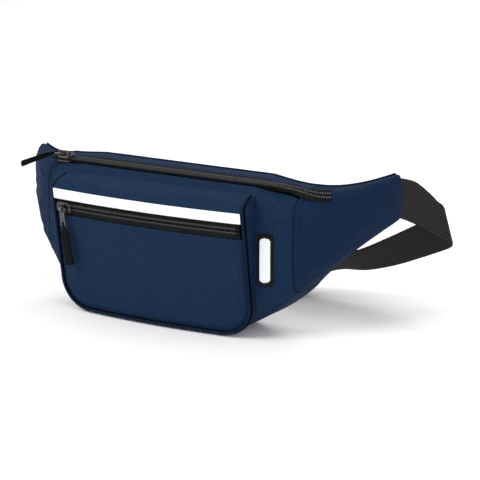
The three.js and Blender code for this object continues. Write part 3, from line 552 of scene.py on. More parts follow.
def moulded(name, base, lighter_edge_colour, roughness=0.42, metallic=0.0, grain=900.0, bump=0.02, specular=0.5):
    """Moulded plastic or cast metal: fine grain, soft blotches and lighter edges; on the zip coil the lighter
    edges are painted highlight.
    """
    n = Nodes(name)
    where = n.add("ShaderNodeTexCoord").outputs["Object"]
    fine = n.add("ShaderNodeTexNoise", {"Vector": where, "Scale": grain, "Detail": 3.0})
    broad = n.add("ShaderNodeTexNoise", {"Vector": where, "Scale": 120.0, "Detail": 5.0})
    edge = n.add("ShaderNodeNewGeometry").outputs["Pointiness"]
    # convex edges and soft blotches are mixed towards the lighter colour, which on the zip coil is painted
    # highlight
    lighter_edge_mix = n.times(n.minus(edge, 0.53), 6.0)
    lighter_edge_mix = n.plus(lighter_edge_mix, n.times(n.minus(broad.outputs["Fac"], 0.5), 0.8))
    lighter_edge_mix = n.add("ShaderNodeClamp", {"Value": lighter_edge_mix}).outputs[0]
    n.wire("Base Color", mix_colours(n, lighter_edge_mix, base, lighter_edge_colour))
    n.wire("Roughness", n.plus(n.times(fine.outputs["Fac"], 0.22), roughness - 0.11))
    lump = n.add("ShaderNodeBump", {"Height": fine.outputs["Fac"], "Strength": 0.4, "Distance": bump * MM})
    n.wire("Normal", lump.outputs[0])
    n.set(Metallic=metallic, Specular_IOR_Level=specular)
    return n.material


def colour(red, green, blue):
    """Linear colour from 0..255 display values."""
    linear = [((v / 255 + 0.055) / 1.055) ** 2.4 if v > 10 else v / 255 / 12.92 for v in (red, green, blue)]
    return (*linear, 1.0)


NAVY = woven("navy_cloth", colour(4, 20, 40), colour(32, 56, 88), cloudiness=0.03)
# Painted shade: the same navy cloth made darker for the wings, back panel and pocket gusset, which turn away
# from the light.
NAVY_SHADED = woven("navy_cloth_painted_shade", colour(3, 16, 36), colour(26, 49, 82), pitch=(1.5, 1.3), cloudiness=0.04)
NAVY_TRIM = woven("navy_binding", colour(3, 14, 30), colour(20, 36, 62), pitch=(0.9, 0.9), depth=0.12)
TAPE = woven("zip_tape_cloth", colour(6, 6, 8), colour(34, 33, 35), pitch=(0.9, 0.5), depth=0.12,
             twill=True, roughness=0.85)
RIBBON = woven("pull_ribbon_cloth", colour(4, 4, 5), colour(27, 26, 27), pitch=(0.55, 1.1))
# Painted highlight: the nylon coil is coloured light grey, paler still on its crests, to stand for the glints
# along its turns.
COIL = moulded("zip_coil_painted_highlight", colour(40, 39, 40), colour(112, 108, 106), roughness=0.3, grain=2400,
               specular=0.7)
WEBBING = woven("belt_webbing", colour(5, 5, 6), colour(50, 49, 49), pitch=(2.0, 1.5), depth=0.5,
                roughness=0.7, cloudiness=0.03, specular=0.15)
WHITE = woven("white_tape", colour(226, 229, 232), colour(250, 251, 252), pitch=(0.35, 0.35), depth=0.02,
              sheen=0.0, roughness=0.42, cloudiness=0.03, specular=0.5)
LABEL = woven("label_satin", colour(214, 217, 220), colour(245, 246, 247), pitch=(0.25, 0.5), depth=0.03,
              sheen=0.1, roughness=0.5, cloudiness=0.03)
NAVY_THREAD = moulded("navy_thread", colour(9, 17, 34), colour(34, 46, 72), roughness=0.7, grain=3000)
BLACK_THREAD = moulded("black_thread", colour(10, 10, 11), colour(34, 34, 35), roughness=0.7, grain=3000)
GUNMETAL = moulded("gunmetal", colour(62, 60, 60), colour(128, 124, 122), roughness=0.3, metallic=0.9,
                   grain=1500, bump=0.015)
PLASTIC = moulded("buckle_acetal", colour(17, 17, 18), colour(46, 46, 48), roughness=0.4, bump=0.03)


# ---- panels of the main compartment --------
def from_seams(grid, reach):
    """0 at the left and right edges of a grid, 1 once `reach` millimetres inside."""
    along = lengths_along(grid, 0)
    total = along[-1][None]
    return smoothstep(np.minimum(along, total - along), 0, reach)


def from_rows(grid, top, bottom):
    across = lengths_along(grid, 1)
    total = across[:, -1][:, None]
    return smoothstep(across, 0, top) * smoothstep(total - across, 0, bottom)


FRONT_FOLDS = (
    # right of the pocket, between its gusset and the wing seam
    (84, 88, 107, 95, 2.6, 1.6),
    (92, 108, 99, 97, 2.2, 1.3),
    (86, 100, 95, 93, 2.0, -1.0),
    (100, 104, 107, 86, 2.6, 1.2),
    (83, 55, 107, 70, 4.2, 1.5),
    (84, 40, 106, 50, 3.5, -0.9),
    (81, 24, 107, 36, 3.6, 1.5),
    (90, 12, 102, 30, 3.2, -1.1),
    # above the pocket, under the main zip
    (-84, 105, -40, 107, 1.9, 1.0),
    (-30, 108, 30, 106, 2.0, 0.8),
    (20, 104, 78, 109, 2.2, 1.0),
    # left of the pocket
    (-90, 95, -106, 82, 2.6, 1.3),
    (-89, 66, -107, 74, 3.2, 1.2),
    (-88, 40, -106, 55, 3.0, -1.0),
    (-70, 3, -100, 22, 3.5, 1.1),
)


def seam_dip(grid, depth=0.6, width=0.8):
    """Cloth rolls in along its left and right seams."""
    along = lengths_along(grid, 0)
    total = along[-1][None]
    inside = np.minimum(along, total - along)
    return -depth * np.exp(-((inside / width) ** 2)) + 0.2 * np.exp(-(((inside - 2.2) / 0.9) ** 2))


def front_panel():
    places = run_of_places(SEAM - SEAM_GAP, SEAM - SEAM_GAP)
    grid = skin_grid(places, lambda p: front_edge(p) + 0.4, lambda p: p.depth_at(0.84, False) - 0.3, 96)
    hold = from_rows(grid, 7, 9) * from_seams(grid, 5)
    shape = folds(grid[..., 0], grid[..., 2], FRONT_FOLDS)
    shape += 0.8 * perlin(grid, 34, 2.0) + 0.45 * (crumple(grid, 24, 5.0) - 0.4)
    under_label = smoothstep(grid[..., 0], 80, 84) * smoothstep(97 - grid[..., 0], -1, 2)
    under_label *= smoothstep(grid[..., 2], 34, 39) * smoothstep(88 - grid[..., 2], -1, 4)
    shape = shape * hold * (1 - 0.75 * under_label) + seam_dip(grid)
    surface = grid + normals_of(grid) * shape[..., None]
    cover("front_cloth", surface, CLOTH_THICK, NAVY, "navy_fabric", "front_panel")
    return surface


def bottom_panel():
    places = run_of_places(SEAM - SEAM_GAP, SEAM - SEAM_GAP, step=2.5)
    grid = skin_grid(places, lambda p: p.depth_at(0.84, False) + 0.3, lambda p: p.girth - 0.6, 30)
    hold = from_rows(grid, 4, 4) * from_seams(grid, 5)
    flat = smoothstep(np.abs(grid[..., 0]), 30, 60)
    shape = (0.5 * perlin(grid, 30, 7.0) + 0.3 * crumple(grid, 22, 8.0)) * hold * (0.25 + 0.75 * flat)
    surface = grid + normals_of(grid) * (shape - 0.25 * (1 - flat) * hold)[..., None]
    surface[..., 2] = np.maximum(surface[..., 2], 0.05)
    cover("base_cloth", surface, CLOTH_THICK, NAVY, "navy_fabric", "bottom_panel")


def top_strip():
    places = run_of_places(SEAM - SEAM_GAP, SEAM - SEAM_GAP, step=2)
    grid = skin_grid(places, lambda p: 0.7, lambda p: back_edge(p) - 0.3, 14)
    hold = from_rows(grid, 3, 3)
    shape = hold * (0.5 * perlin(grid, 26, 11.0) + 0.35 * crumple(grid, 18, 12.0))
    surface = grid + normals_of(grid) * shape[..., None]
    cover("top_cloth", surface, CLOTH_THICK, NAVY, "navy_fabric", "top_back_strip")
    return surface


WING_FOLDS = {
    # along the wing in millimetres from the seam, and height
    1: (
        (3, 82, 24, 73, 3.4, 1.3),
        (18, 74, 48, 72, 2.8, 1.5),
        (44, 70, 72, 88, 4.2, 1.5),
        (8, 60, 40, 62, 4.0, -0.9),
        (2, 52, 34, 58, 3.2, 1.1),
        (30, 94, 58, 106, 3.2, 1.2),
        (52, 100, 74, 108, 3.0, -0.8),
        (4, 95, 20, 100, 3.0, 0.8),
        (40, 84, 70, 98, 3.4, 0.8),
    ),
    -1: (
        (4, 84, 24, 74, 3.4, 1.4),
        (10, 96, 34, 104, 2.8, 1.1),
        (6, 60, 28, 56, 3.4, -1.0),
        (20, 70, 48, 80, 3.6, 1.3),
        (40, 88, 62, 84, 3.0, 0.9),
    ),
}


def wing_panel(side):
    places = [wing(side, lerp(SEAM + SEAM_GAP, 1, (k / 58) ** 1.15)) for k in range(59)]
    if side < 0:
        places = places[::-1]
    grid = skin_grid(places, lambda p: 0.9, lambda p: p.girth - 0.9, 84)
    along = lengths_along(grid, 0)
    from_seam = along if side > 0 else along[-1][None] - along
    hold = from_rows(grid, 5, 5) * smoothstep(from_seam, 0, 6) * smoothstep(
        from_seam[-1 if side > 0 else 0][None] - from_seam, 0, 8)
    name = "right_wing_panel" if side > 0 else "left_wing_panel"
    shape = 0.6 * folds(from_seam, grid[..., 2], WING_FOLDS[side])
    shape += 0.7 * perlin(grid, 30, 15.0 + side) + 0.4 * (crumple(grid, 22, 18.0 + side) - 0.4)
    if side > 0:
        # the cloth lies still under the zip that runs onto this wing
        under_zip = smoothstep(30 - from_seam, 0, 8) * smoothstep(grid[..., 2], 92, 97)
        shape = shape * (1 - under_zip) - 0.5 * under_zip
    belly = 1.2 * from_rows(grid, 25, 25) * smoothstep(from_seam, 0, 20)
    roll = -0.6 * np.exp(-((from_seam / 0.8) ** 2)) + 0.3 * np.exp(-(((from_seam - 2.2) / 0.9) ** 2))
    surface = grid + normals_of(grid) * (shape * hold + belly * hold + roll)[..., None]
    cover(name.replace("panel", "cloth"), surface, CLOTH_THICK, NAVY_SHADED, "navy_fabric", name)
    return surface


def back_panel():
    places = run_of_places(1.0, 1.0, step=2.5, wing_step=0.02)
    rows = 56
    share = np.linspace(0, 1, rows + 1)
    grid = np.stack([
        np.column_stack([np.tile(p.back, (rows + 1, 1)), lerp(p.high, p.low + 0.5, share)]) for p in places])
    outward = unit(np.cross((0.0, 0.0, 1.0), np.gradient(grid[:, 0], axis=0)))[:, None]
    along = lengths_along(grid, 0)
    edge = from_rows(grid, 4, 4) * smoothstep(along, 0, 6) * smoothstep(along[-1][None] - along, 0, 6)
    puff = 1.1 * from_rows(grid, 16, 16) + 0.5 * perlin(grid, 40, 21.0) + 0.4 * crumple(grid, 26, 22.0)
    surface = grid + outward * (1.5 + puff * edge - 0.5 * (1 - edge))[..., None]
    cover("back_cloth", surface[::-1], CLOTH_THICK, NAVY_SHADED, "navy_fabric", "back_panel")
    return surface


# ---- main zip --------
def ridge_point(p):
    straight = np.array([p.front[0], RIDGE_Y, RIDGE_Z])
    if p.side < 0 or p.w < 0.2:
        return straight
    crown = lifted(p, (front_edge(p) + back_edge(p)) / 2)
    return lerp(straight, crown, smoothstep(p.w, 0.2, 0.42))


def ridge_across(p):
    tilt = math.radians(12)
    straight = np.array([0, -math.cos(tilt), -math.sin(tilt)])
    wrapped = unit(lifted(p, front_edge(p)) - lifted(p, back_edge(p)))
    share = smoothstep(p.w, 0.2, 0.42) if p.side > 0 else 0.0
    return unit(lerp(straight, wrapped, share))


def frames_of(origins, acrosses):
    """Square frames along a zip: its centre, along, across and out."""
    along = unit(np.gradient(origins, axis=0))
    across = unit(acrosses - along * np.sum(acrosses * along, -1, keepdims=True))
    return origins, along, across, unit(np.cross(across, along))


def respaced(origins, acrosses, spacing):
    line = resample(origins, spacing)
    travel = travelled(origins)
    wanted = np.linspace(0, travel[-1], len(line))
    return frames_of(line, unit(points_at(wanted, travel, acrosses)))


TOOTH_PITCH = 1.8              # wider than a real coil of this size, so that single turns show


def zip_teeth(name, frames, reach, nodes):
    """One coil's visible turns: short nylon bars from the tape to just short of the middle."""
    origins, along, across, out = frames
    for side, node in zip((1, -1), nodes):
        batch = Batch()
        shift = 0.0 if side > 0 else 0.5
        for k in range(1, len(origins) - 1):
            centre = origins[k] + along[k] * TOOTH_PITCH * shift
            stops = np.array([reach - 0.2, reach - 0.4, reach * 0.6, 1.2, 0.9, 0.84])
            lift = np.array([-0.35, 0.1, 0.3, 0.32, 0.15, -0.2])
            lean = np.array([0.0, 0.0, 0.05, 0.1, 0.12, 0.12])
            path = (centre + np.outer(stops * side, across[k]) + np.outer(lift, out[k])
                    + np.outer(lean, along[k]))
            batch.add(tube(path, [0.36, 0.42, 0.44, 0.46, 0.42, 0.34], sides=6, twist_up=along[k]))
        # the coil's filler cord, which the turns wrap
        cord = origins + across * side * reach * 0.55 + out * -0.45
        batch.add(tube(cord, 0.42, sides=6))
        piece = batch.build(f"{name}_{'front' if side > 0 else 'back'}")
        finish_piece(piece, COIL, nodes=(node,))


def tape_strip(name, frames, side, outer_points, nodes, rows=8, inner=0.35, drop=0.62):
    """Zip tape from under the coil out to where it is sewn, slightly rippled."""
    origins, _, across, out = frames
    grid = []
    for row in range(rows + 1):
        share = row / rows
        near = origins + across * side * inner + out * -drop
        under = origins + across * side * (SLIDER_HALF + 0.4) + out * -0.1
        if share < 0.5:
            points = lerp(near, under, share / 0.5)
        else:
            points = lerp(under, outer_points, (share - 0.5) / 0.5)
        grid.append(points)
    grid = np.stack(grid, 1)
    if side < 0:
        grid = grid[:, ::-1]
    ripple = 0.12 * perlin(grid, 7, 31.0)
    grid = grid + normals_of(grid) * ripple[..., None]
    cover(name, grid, TAPE_THICK, TAPE, "zip_tape", *nodes)


def main_zip():
    places = run_of_places(ZIP_START, ZIP_END)
    origins = np.stack([ridge_point(p) for p in places])
    acrosses = np.stack([ridge_across(p) for p in places])
    frames = frames_of(origins, acrosses)
    front = np.stack([lifted(p, front_edge(p) - 0.3) for p in places])
    back = np.stack([lifted(p, back_edge(p) + 0.3) for p in places])
    tape_strip("main_tape_front", frames, 1, front, ("main_zip_tape_front",))
    tape_strip("main_tape_back", frames, -1, back, ("main_zip_tape_back",))
    chained = [k for k, p in enumerate(places) if not (p.side < 0 and p.w > 0.26)]
    teeth = respaced(origins[chained], acrosses[chained], TOOTH_PITCH)
    zip_teeth("main_coil", teeth, 3.0, ("main_zip_coil_front", "main_zip_coil_back"))


# ---- front pocket --------
POCKET_HALF = 84.0
POCKET_X = -3.0
POCKET_TOP = 109.0
POCKET_LOW = 1.5
POCKET_CORNER = 24.0
STRIP_TOP = 99.5
STRIP_TALL = 8.5
ZIP_Z = 84.8
ZIP_TAPE = 6.2
FACE_Y = -38.0
LEAN = 0.152
BOW = 5.0
BOW_RADIUS = (POCKET_HALF**2 + BOW**2) / (2 * BOW)
PIPING_RADIUS = 1.15


def place_at(x):
    past = abs(x) - FLAT_HALF
    return middle(x) if past <= 0 else wing(1 if x > 0 else -1, past / 76)


def main_front_y(x, z):
    p = place_at(x + POCKET_X)
    return float(p.at(p.height_at(max(z, p.low + 1)))[1])


POCKET_TOP_Y = {x: main_front_y(x, POCKET_TOP - 0.5) for x in range(-90, 91, 6)}


def face_y(x, z):
    """Front of the pocket's face, x counted from the pocket's own middle."""
    x, z = np.broadcast_arrays(np.asarray(x, float), np.asarray(z, float))
    bow = np.sqrt(BOW_RADIUS**2 - x**2) - BOW_RADIUS + BOW
    belly = 1 + 0.3 * smoothstep(ZIP_Z - 8 - z, 0, 40)
    lean = FACE_Y + LEAN * (100 - np.minimum(z, STRIP_TOP)) - bow * belly
    up = np.clip((z - STRIP_TOP) / (POCKET_TOP - STRIP_TOP), 0, 1.2)
    top = np.interp(x, list(POCKET_TOP_Y), list(POCKET_TOP_Y.values())) - 2.2
    return lerp(lean, top, up**2.4)


def pocket_width(z, inset=0.0):
    z = np.asarray(z, float)
    half = POCKET_HALF - inset
    low = POCKET_LOW + inset
    corner = POCKET_CORNER - inset
    rise = np.maximum(0, low + corner - z)
    rounded = half - corner + np.sqrt(np.maximum(0, corner**2 - rise**2))
    up = np.maximum(0, z - STRIP_TOP) / (POCKET_TOP - STRIP_TOP)
    return np.where(z < low + corner, rounded, half - 3 * up**1.3)


def from_outline(x, z):
    """Distance inwards from the pocket's outline."""
    low, corner = POCKET_LOW, POCKET_CORNER
    side = pocket_width(z) - np.abs(x)
    in_corner = (z < low + corner) & (np.abs(x) > POCKET_HALF - corner)
    radial = corner - np.hypot(np.abs(x) - (POCKET_HALF - corner), low + corner - z)
    straight = np.minimum(POCKET_HALF - np.abs(x), z - low)
    return np.where(in_corner, radial, np.where(z < low + corner, straight, np.minimum(side, z - low)))


POCKET_FOLDS = (
    (-76, 40, -60, 16, 7.0, 0.7),
    (-40, 12, 20, 6, 5.5, -0.5),
    (60, 44, 76, 20, 7.0, 0.6),
    (-66, 22, -40, 26, 9.0, 0.8),
    (-70, 72, -20, 66, 5.0, 0.35),
    (10, 70, 74, 66, 5.0, 0.35),
)
UPPER_FOLDS = (
    (-82, 104.6, -44, 105.2, 1.5, 1.1),
    (-50, 105, -12, 101.8, 1.5, 1.2),
    (6, 100.5, 22, 105.8, 2.2, 1.4),
    (20, 105.8, 72, 106.5, 1.6, 1.1),
    (-70, 101.5, -30, 102.6, 1.4, -0.8),
    (30, 102.5, 70, 101.5, 1.8, -0.7),
)


def pocket_grid(low, high, columns, rows, inset=2.2, ease=1.0):
    z = lerp(low, high, np.linspace(0, 1, rows + 1) ** ease)[::-1]
    a = np.linspace(-1, 1, columns + 1)[:, None]
    x = a * pocket_width(z, inset)[None]
    z = np.broadcast_to(z[None], x.shape)
    return x, z


def upright_plane(x, z):
    return np.stack([x, 0 * x, z], -1)


def pocket_surface(x, z, lift=0.0):
    grid = np.stack([x + 0 * z, face_y(x, z), z + 0 * x], -1)
    raised = grid + normals_of(grid) * np.asarray(lift)[..., None]
    raised[..., 0] += POCKET_X
    return raised


def pocket_pieces():
    x, z = pocket_grid(POCKET_LOW + 2.2, ZIP_Z - ZIP_TAPE - 0.2, 120, 76, ease=1.25)
    edge = from_outline(x, z)
    pillow = -1.7 * (1 - smoothstep(edge, 1.5, 9)) ** 1.5
    sewn = smoothstep(ZIP_Z - ZIP_TAPE - z, 0, 4)
    here = upright_plane(x, z)
    calm = smoothstep(edge, 0, 12) * sewn
    shape = folds(x, z, POCKET_FOLDS) + 0.55 * perlin(here, 42, 41.0) + 0.3 * (crumple(here, 30, 43.0) - 0.4)
    # the cloth's folded edge under the zip
    hem = 0.25 * np.exp(-(((ZIP_Z - ZIP_TAPE - z - 1.4) / 1.1) ** 2))
    surface = pocket_surface(x, z, shape * calm * 0.8 + pillow + hem - 0.2 * (1 - sewn))
    cover("pocket_cloth", surface, CLOTH_THICK, NAVY, "navy_fabric", "pocket_face_lower")
    pocket_rows = {"under_zip": surface[:, 2], "above_zip": None}

    x, z = pocket_grid(ZIP_Z + ZIP_TAPE + 0.2, POCKET_TOP, 130, 26)
    here = upright_plane(x, z)
    edge = from_outline(x, z)
    free = smoothstep(z, STRIP_TOP, STRIP_TOP + 2.5) * smoothstep(POCKET_TOP - z, 0, 2)
    free = free * smoothstep(edge, 0, 8)
    shape = folds(x, z, UPPER_FOLDS) + 0.5 * perlin(here, 20, 47.0) + 0.5 * (crumple(here, 14, 48.0) - 0.4)
    surface = pocket_surface(x, z, shape * free)
    cover("pocket_top_cloth", surface, CLOTH_THICK, NAVY, "navy_fabric", "pocket_face_upper")
    pocket_rows["above_zip"] = surface[:, -3]
    pocket_rows["top"] = surface[:, 2]

    x, z = pocket_grid(STRIP_TOP - STRIP_TALL + 0.3, STRIP_TOP - 0.4, 120, 8)
    here = upright_plane(x, z)
    surface = pocket_surface(x, z, 0.75 + 0.16 * perlin(here, 16, 51.0))
    cover("white_strip_tape", surface, TAPE_THICK, WHITE, "white_strip", "reflective_strip")
    pocket_rows["strip_low"] = surface[:, -2]
    pocket_rows["strip_high"] = surface[:, 1]
    return pocket_rows


def front_zip():
    count = 120
    reach = POCKET_HALF - 4
    x = np.linspace(-reach, reach, count + 1)
    out = unit(np.stack([x / BOW_RADIUS, -np.ones_like(x), np.full_like(x, -LEAN)], -1))
    origins = np.stack([x, face_y(x, ZIP_Z), np.full_like(x, ZIP_Z)], -1) - out * 0.8
    origins[:, 0] += POCKET_X
    up = np.tile(unit(np.array([0, -LEAN, 1.0])), (count + 1, 1))
    for half, side in (("upper", 1), ("lower", -1)):
        z = ZIP_Z + side * (ZIP_TAPE - 0.1)
        edge = np.stack([x, face_y(x, z), np.full_like(x, z)], -1) - out * 0.8
        edge[:, 0] += POCKET_X
        rows = 8
        near = origins + up * side * 0.35 - out * 0.55
        grid = np.stack([lerp(near, edge, k / rows) for k in range(rows + 1)], 1)
        if side > 0:
            grid = grid[:, ::-1]
        ripple = 0.1 * perlin(grid, 7, 33.0)
        grid = grid + normals_of(grid) * ripple[..., None]
        cover(f"front_tape_{half}", grid, TAPE_THICK, TAPE, "zip_tape", f"front_zip_tape_{half}")
    *line, outward = respaced(origins[2:-2], up[2:-2], TOOTH_PITCH)
    outward = np.where(outward[:, 1:2] > 0, -outward, outward)
    zip_teeth("front_coil", (*line, outward), 2.8, ("front_zip_coil_upper", "front_zip_coil_lower"))


def outline_points(inset, spacing=2.0):
    low = POCKET_LOW + inset
    corner = POCKET_CORNER - inset
    left = [(-float(pocket_width(z, inset)), z) for z in np.linspace(POCKET_TOP - 2, low + corner, 30)]
    centre = POCKET_HALF - inset - corner
    for angle in np.linspace(0, math.pi / 2, 14)[1:]:
        left.append((-centre - corner * math.cos(angle), low + corner - corner * math.sin(angle)))
    right = [(-x, z) for x, z in left[::-1]]
    flat = [(x, low) for x in np.linspace(-centre, centre, 50)[1:-1]]
    line = resample([(x, 0, z) for x, z in left + flat + right], spacing)
    return line[:, 0], line[:, 2]


def pocket_sides():
    x, z = outline_points(0.0)
    tangent = unit(np.gradient(np.stack([x, z], -1), axis=0))
    inwards = np.stack([-tangent[:, 1], np.zeros_like(x), tangent[:, 0]], -1)
    near = face_y(x, z) + 2.5
    far = np.array([main_front_y(a, b) for a, b in zip(x, z)])
    far = np.maximum(near + 0.8, far - 0.5)
    rows = 14
    # where the body's underside rises above the pocket's corners, the gusset curves up to meet it
    meet = np.maximum(z, [place_at(a + POCKET_X).low + 1.4 for a in x])
    share = np.linspace(0, 1, rows + 1)[None]
    grid = np.stack([x[:, None] + 0 * share, lerp(near[:, None], far[:, None], share),
                     lerp(z[:, None], meet[:, None], share**1.5)], -1)
    # the gusset is creased along its middle and rolls in at both seams
    long_fold = 0.55 * np.exp(-(((share - 0.34) / 0.1) ** 2)) - 0.9 * np.exp(-(((share - 0.55) / 0.14) ** 2))
    shape = long_fold + 0.5 * perlin(grid, 18, 61.0) + 0.35 * crumple(grid, 12, 62.0) - 0.4
    shape = shape * smoothstep(share, 0, 0.12) * smoothstep(1 - share, 0, 0.12)
    grid = grid - inwards[:, None] * shape[..., None] * np.minimum(1, (far - near) / 8)[:, None, None]
    grid[..., 2] = np.maximum(grid[..., 2], 0.3)
    grid[..., 0] += POCKET_X
    cover("gusset_cloth", grid[::-1], GUSSET_THICK, NAVY_SHADED, "navy_fabric", "pocket_gusset")

    x, z = outline_points(0.9, 1.6)
    wobble = upright_plane(x, z)
    line = np.stack([x + POCKET_X, face_y(x, z) + 0.5, z], -1)
    line[:, 1] += 0.15 * perlin(wobble[None], 9, 71.0)[0]
    radius = PIPING_RADIUS * (1 + 0.06 * perlin(wobble[None], 5, 72.0)[0])
    radius[:3] *= (0.45, 0.75, 0.95)
    radius[-3:] *= (0.95, 0.75, 0.45)
    vertices, faces, uv = tube(line, radius, sides=12, twist_up=(0, 1, 0))
    finish_piece(link("piping_cord", vertices, faces, uv), NAVY_TRIM, nodes=("pocket_piping",))


make_camera()
front_surface = front_panel()
bottom_panel()
top_surface = top_strip()
right_surface = wing_panel(1)
left_surface = wing_panel(-1)
back_surface = back_panel()
main_zip()
pocket_rows = pocket_pieces()
front_zip()
pocket_sides()


# ---- side label --------
LABEL_BACKING = ((0.12, 0.25), (42, 81))          # wing stations, then heights
LABEL_FACE = ((0.142, 0.229), (44.8, 78.6))


def label_sheet(name, stations, heights, lift, thickness, corner, material, slot, node):
    """A rectangle with rounded corners that lies over the skin to the right of the pocket."""
    columns, rows = 26, 44
    a = np.linspace(-1, 1, columns + 1)[:, None]
    b = np.linspace(1, -1, rows + 1)[None]
    low, high = heights
    half_tall = (high - low) / 2
    width = (stations[1] - stations[0]) * 82
    from_end = half_tall * (1 - np.abs(b))
    pull_in = corner - np.sqrt(np.maximum(0, corner**2 - np.maximum(0, corner - from_end) ** 2))
    share = a * (1 - pull_in / (width / 2))
    grid = np.empty((columns + 1, rows + 1, 3))
    for i in range(columns + 1):
        for j in range(rows + 1):
            w = lerp(stations[0], stations[1], (share[i, j] + 1) / 2)
            p = wing(1, round(float(w), 5))
            z = (low + high) / 2 + float(b[0, j]) * half_tall
            grid[i, j] = p.at(p.height_at(z))
    curl = 0.25 * perlin(grid, 14, 81.0)
    grid = grid + normals_of(grid) * (lift + curl)[..., None]
    cover(name, grid, thickness, material, slot, node)
    return grid


def side_label():
    backing = label_sheet("label_backing", *LABEL_BACKING, 1.35, 0.6, 0.8, TAPE, "zip_tape",
                          "side_label_backing")
    label_sheet("label_face", *LABEL_FACE, 2.0, 0.4, 3.0, LABEL, "white_label", "side_label_patch")
    batch = Batch()
    lift = normals_of(backing) * 0.15
    raised = backing + lift
    for line in (raised[2, 2:-2], raised[-3, 2:-2]):
        add_stitches(batch, line, pitch=2.4, radius=0.2)
    for line in (raised[2:-2, 2], raised[2:-2, -3]):
        add_stitches(batch, line, pitch=2.2, radius=0.2)
    finish_piece(batch.build("label_stitches"), BLACK_THREAD)


# ---- belt --------
WEBBING_WIDE = 30.0
WEBBING_THICK = 1.6
MOST_STRETCH = 1.08


def tip_point(side, w):
    p = wing(side, w)
    away = unit(np.append(p.front - p.back, 0.0))
    tip = wing(side, 1.0)
    centre_z = (tip.low + tip.high) / 2 - 0.6
    return np.append(p.back, centre_z) + away * 1.3


UPRIGHT = (0, 0, 1)
FLAT = (0, -1, 0)

RIGHT_ROUTE = (
    (None, UPRIGHT), (None, UPRIGHT),
    ((160, 84, 91.5), (0.04, 0.02, 1)), ((167, 99, 81), (-0.08, -0.06, 1)),
    ((172, 108, 73.5), (-0.18, -0.13, 0.97)), ((175, 113.5, 69), (-0.2, -0.16, 0.96)),
    ((171, 118, 64.5), (-0.15, -0.2, 0.96)), ((160, 120, 58), (-0.05, -0.28, 0.95)),
    ((145, 118.5, 50), (0.08, -0.36, 0.92)), ((126, 114, 41), (0.1, -0.5, 0.85)),
    ((105, 108.5, 33), (0.08, -0.68, 0.7)), ((82, 104.5, 28.5), (0.03, -0.82, 0.55)),
    ((60, 102, 16), (0, -0.95, 0.3)), ((46, 101, 5.4), FLAT), ((34, 101, 1.9), FLAT),
    ((22, 101, 1.6), FLAT), ((12.4, 101, 1.6), FLAT), ((9.7, 101, 4.9), FLAT),
    ((11.3, 101, 8.6), FLAT), ((15, 101, 9.5), FLAT), ((18.8, 101, 8.5), FLAT),
    ((21.2, 101, 5.6), FLAT), ((26, 101, 4.2), FLAT), ((34, 101, 4.5), FLAT),
    ((45, 101, 8.6), FLAT), ((57.5, 102, 18.4), (0, -0.95, 0.3)),
    ((81, 103.6, 32.2), (0.03, -0.82, 0.55)), ((104, 106.4, 35.8), (0.08, -0.68, 0.7)),
)
LEFT_ROUTE = (
    (None, UPRIGHT), (None, UPRIGHT),
    ((-161, 65, 87), UPRIGHT), ((-161, 82, 80), (0.05, 0, 1)), ((-153, 95, 70), (0.05, -0.2, 0.97)),
    ((-138, 103, 59), (0, -0.35, 0.95)), ((-116, 107, 47), (-0.05, -0.5, 0.85)),
    ((-94, 106, 37), (-0.05, -0.68, 0.7)), ((-74, 103, 26), (0, -0.9, 0.45)),
    ((-60, 101, 14), FLAT), ((-50, 101, 9.4), FLAT), ((-42, 101, 9.4), FLAT),
    ((-37, 101, 9.5), FLAT), ((-33, 101, 8.3), FLAT), ((-31.8, 101, 5.2), FLAT),
    ((-33.4, 101, 2.0), FLAT), ((-38, 101, 1.3), FLAT), ((-48, 101, 3.2), FLAT), ((-58, 101, 8.2), FLAT),
)


def centripetal(points, per_span):
    """Smooth curve through points, spaced centripetally as the CAD belt's centre line is."""
    points = np.asarray(points, float)
    start = 2 * points[0] - points[1]
    end = 2 * points[-1] - points[-2]
    padded = np.vstack([start, points, end])
    curve = []
    for k in range(len(points) - 1):
        p0, p1, p2, p3 = padded[k: k + 4]
        gaps = [max(1e-4, np.linalg.norm(b - a) ** 0.5) for a, b in ((p0, p1), (p1, p2), (p2, p3))]
        knots = np.cumsum([0] + gaps)
        last = k == len(points) - 2
        for t in np.linspace(knots[1], knots[2], per_span + 1)[: None if last else -1]:
            a1 = lerp(p0, p1, (t - knots[0]) / gaps[0])
            a2 = lerp(p1, p2, (t - knots[1]) / gaps[1])
            a3 = lerp(p2, p3, (t - knots[2]) / gaps[2])
            b1 = lerp(a1, a2, (t - knots[0]) / (gaps[0] + gaps[1]))
            b2 = lerp(a2, a3, (t - knots[1]) / (gaps[1] + gaps[2]))
            curve.append(lerp(b1, b2, (t - knots[1]) / gaps[1]))
    return np.array(curve)


